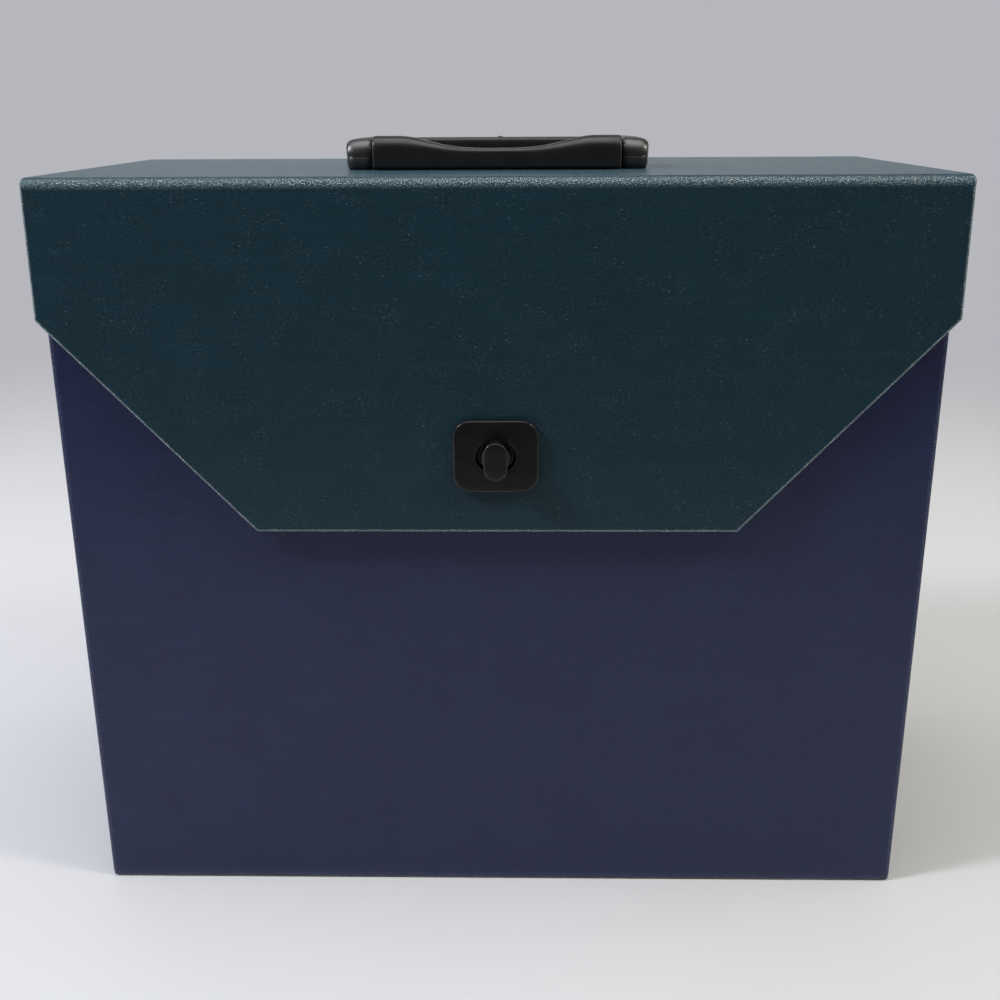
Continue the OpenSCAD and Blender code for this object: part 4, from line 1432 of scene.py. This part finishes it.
class CASE_OT_fasteners(bpy.types.Operator):
    """Sets the handle's screws and the lock's rivets"""

    bl_idname = "record_case.fasteners"
    bl_label = "Screws and rivets"

    def execute(self, context):
        tree = fastener_tree()
        head_seat = low("handle_backing_plate").z
        self.set_on(
            tree, "handle_screw_heads", "handle_screws",
            [(p.x, p.y, head_seat) for p in solid_centres("handle_screws")], (0.0, 0.0, -1.0),
            head=(3.3 * MM, 1.35 * MM), shank=(1.7 * MM, high("handle_screws").z - head_seat), cross=True,
        )
        lean = context.scene.case_covering.flap_lean
        counter_plate, through = 0.6 * MM, 1.4 * MM
        behind = lid_top - lid_under + counter_plate
        beside, above = 13.6 * MM, 11.2 * MM
        self.set_on(
            tree, "lock_plate_rivet_heads", "lock_plate_rivets",
            [on_cover(x, lock_place() - z, behind) for x in (-beside, beside) for z in (-above, above)],
            (0.0, math.cos(lean), -math.sin(lean)),
            head=(1.75 * MM, 0.5 * MM), shank=(1.05 * MM, behind + through),
        )
        inner, into_flange = high("lock_inner_plate").y, 0.8 * MM
        self.set_on(
            tree, "lock_base_rivet_heads", "lock_base_rivets",
            [(p.x, inner, p.z) for p in solid_centres("lock_base_rivets")], (0.0, 1.0, 0.0),
            head=(1.85 * MM, 0.65 * MM), shank=(1.15 * MM, inner - body_front + into_flange),
        )
        return {"FINISHED"}

    def set_on(self, tree, name, node, points, axis, head, shank, cross=False):
        """One kind of fastener in place of a CAD node, its head and shank given as (radius, length)."""
        piece = fasteners(
            name, tree, points, Head_radius=head[0], Head_height=head[1], Shank_radius=shank[0],
            Shank_length=shank[1], Axis=axis, Cross_recess=cross, Material=find_material("brushed_plating"),
        )
        seat(piece, [node])


# ---- Stage ----

class CASE_OT_stage(bpy.types.Operator):
    """Sets the floor, the backdrop, the lamps and the camera"""

    bl_idname = "record_case.stage"
    bl_label = "Stage"

    camera_place = (11.14 * MM, -584.86 * MM, 356.17 * MM)
    camera_down = math.radians(18.133)
    camera_left = math.radians(1.11)
    camera_roll = math.radians(-0.302)

    def execute(self, context):
        stage = context.scene.case_stage
        context.scene.view_settings.view_transform = "Standard"
        self.sweep()
        self.sky(context.scene, stage)
        case, wall = Vector((0.0, 0.0, lid_top / 2)), Vector((-0.6, 2.4, 0.4))
        for name, place, target, size, watts, tint in (
            ("key_lamp", (-1.35, -0.55, 1.4), case, 0.35, stage.key, (0.89, 0.91, 1.0)),
            ("fill_lamp", (1.3, -0.5, 1.4), case, 0.35, stage.fill, (1.0, 0.95, 0.77)),
            ("ceiling_lamp", (0.0, -0.25, 2.4), case, 2.2, stage.ceiling, (0.98, 0.99, 1.0)),
            ("left_lamp", (-2.2, 0.35, 0.8), case, 1.2, stage.side, (0.92, 0.94, 1.0)),
            ("right_lamp", (2.2, 0.35, 0.8), case, 1.2, stage.side, (1.0, 0.96, 0.85)),
            ("back_lamp", (-1.0, 0.9, 2.1), wall, 1.0, stage.back, (0.97, 0.97, 1.0)),
        ):
            self.lamp(name, place, target, size, watts, tint)
        self.camera(context.scene, stage)
        return {"FINISHED"}

    def sweep(self):
        """A floor that turns up into a backdrop far behind."""
        half_w, front, back, tall, r = 3.0, -0.72, 2.4, 2.6, 0.7
        steps = 16
        line = [(front, 0.0), (back - r, 0.0)]
        for k in range(1, steps + 1):
            turn = math.pi / 2 * k / steps
            line.append((back - r + r * math.sin(turn), r - r * math.cos(turn)))
        line.append((back, tall))
        points = [(x, y, z) for y, z in line for x in (-half_w, half_w)]
        faces = [(2 * i, 2 * i + 1, 2 * i + 3, 2 * i + 2) for i in range(len(line) - 1)]
        mesh = bpy.data.meshes.new("sweep")
        mesh.from_pydata(points, [], faces)
        floor = to_object("sweep", mesh, find_material("pale_floor"))

    def sky(self, scene, stage):
        """Even light from all round, and a pale ground for the camera and through glass."""
        world = scene.world or bpy.data.worlds.new("sky")
        scene.world = world
        world.use_nodes = True
        tree = world.node_tree
        tree.nodes.clear()
        path = add_node(tree, "ShaderNodeLightPath").outputs
        seen = math_node(tree, "MAXIMUM", path["Is Camera Ray"], path["Is Transmission Ray"])
        daylight = solid((0.93, 0.95, 1.0))
        even = add_node(tree, "ShaderNodeBackground", {"Color": daylight, "Strength": stage.sky})
        shown = add_node(tree, "ShaderNodeBackground", {"Color": solid(stage.ground), "Strength": 1.0})
        both = add_node(tree, "ShaderNodeMixShader", {0: seen, 1: even.outputs[0], 2: shown.outputs[0]})
        add_node(tree, "ShaderNodeOutputWorld", {"Surface": both.outputs[0]})

    def lamp(self, name, place, target, size, watts, tint):
        data = bpy.data.lights.new(name, "AREA")
        data.shape = "DISK"
        data.size = size
        data.energy = watts
        data.color = tint
        made = bpy.data.objects.new(name, data)
        bpy.context.scene.collection.objects.link(made)
        made.location = place
        made.rotation_euler = (target - Vector(place)).to_track_quat("-Z", "Y").to_euler()

    def camera(self, scene, stage):
        data = bpy.data.cameras.new("camera")
        data.lens = stage.lens
        data.sensor_width = 36.0
        data.clip_start = 0.02
        data.clip_end = 50.0
        made = bpy.data.objects.new("camera", data)
        scene.collection.objects.link(made)
        turn = Matrix.Rotation(self.camera_left, 4, "Z")
        tilt = Matrix.Rotation(math.pi / 2 - self.camera_down, 4, "X")
        roll = Matrix.Rotation(self.camera_roll, 4, "Z")
        made.matrix_world = Matrix.Translation(self.camera_place) @ turn @ tilt @ roll
        scene.camera = made


class CASE_PT_panel(bpy.types.Panel):
    """Lists the pieces of the record case"""

    bl_idname = "CASE_PT_panel"
    bl_label = "Record case"
    bl_space_type = "VIEW_3D"
    bl_region_type = "UI"
    bl_category = "Record case"

    def draw(self, context):
        for operator in PIECES:
            self.layout.operator(operator.bl_idname)
        for group in (context.scene.case_covering, context.scene.case_lock,
                      context.scene.case_handle, context.scene.case_stage):
            box = self.layout.box()
            for name in group.bl_rna.properties.keys()[1:]:
                if name != "name":
                    box.prop(group, name)


PIECES = (
    CASE_OT_materials, CASE_OT_stage, CASE_OT_boards, CASE_OT_body_wrap, CASE_OT_green_covering,
    CASE_OT_fold_lining, CASE_OT_back_strip, CASE_OT_lock, CASE_OT_handle, CASE_OT_fasteners,
)
GROUPS = {
    "case_covering": CaseCoveringSettings, "case_lock": CaseLockSettings,
    "case_handle": CaseHandleSettings, "case_stage": CaseStageSettings,
}


def register():
    for name, group in GROUPS.items():
        bpy.utils.register_class(group)
        setattr(bpy.types.Scene, name, bpy.props.PointerProperty(type=group))
    for operator in PIECES:
        bpy.utils.register_class(operator)
    bpy.utils.register_class(CASE_PT_panel)


def unregister():
    bpy.utils.unregister_class(CASE_PT_panel)
    for operator in reversed(PIECES):
        bpy.utils.unregister_class(operator)
    for name, group in GROUPS.items():
        delattr(bpy.types.Scene, name)
        bpy.utils.unregister_class(group)


def main():
    register()
    for operator in PIECES:
        group, name = operator.bl_idname.split(".")
        getattr(getattr(bpy.ops, group), name)()


if __name__ == "__main__":
    main()
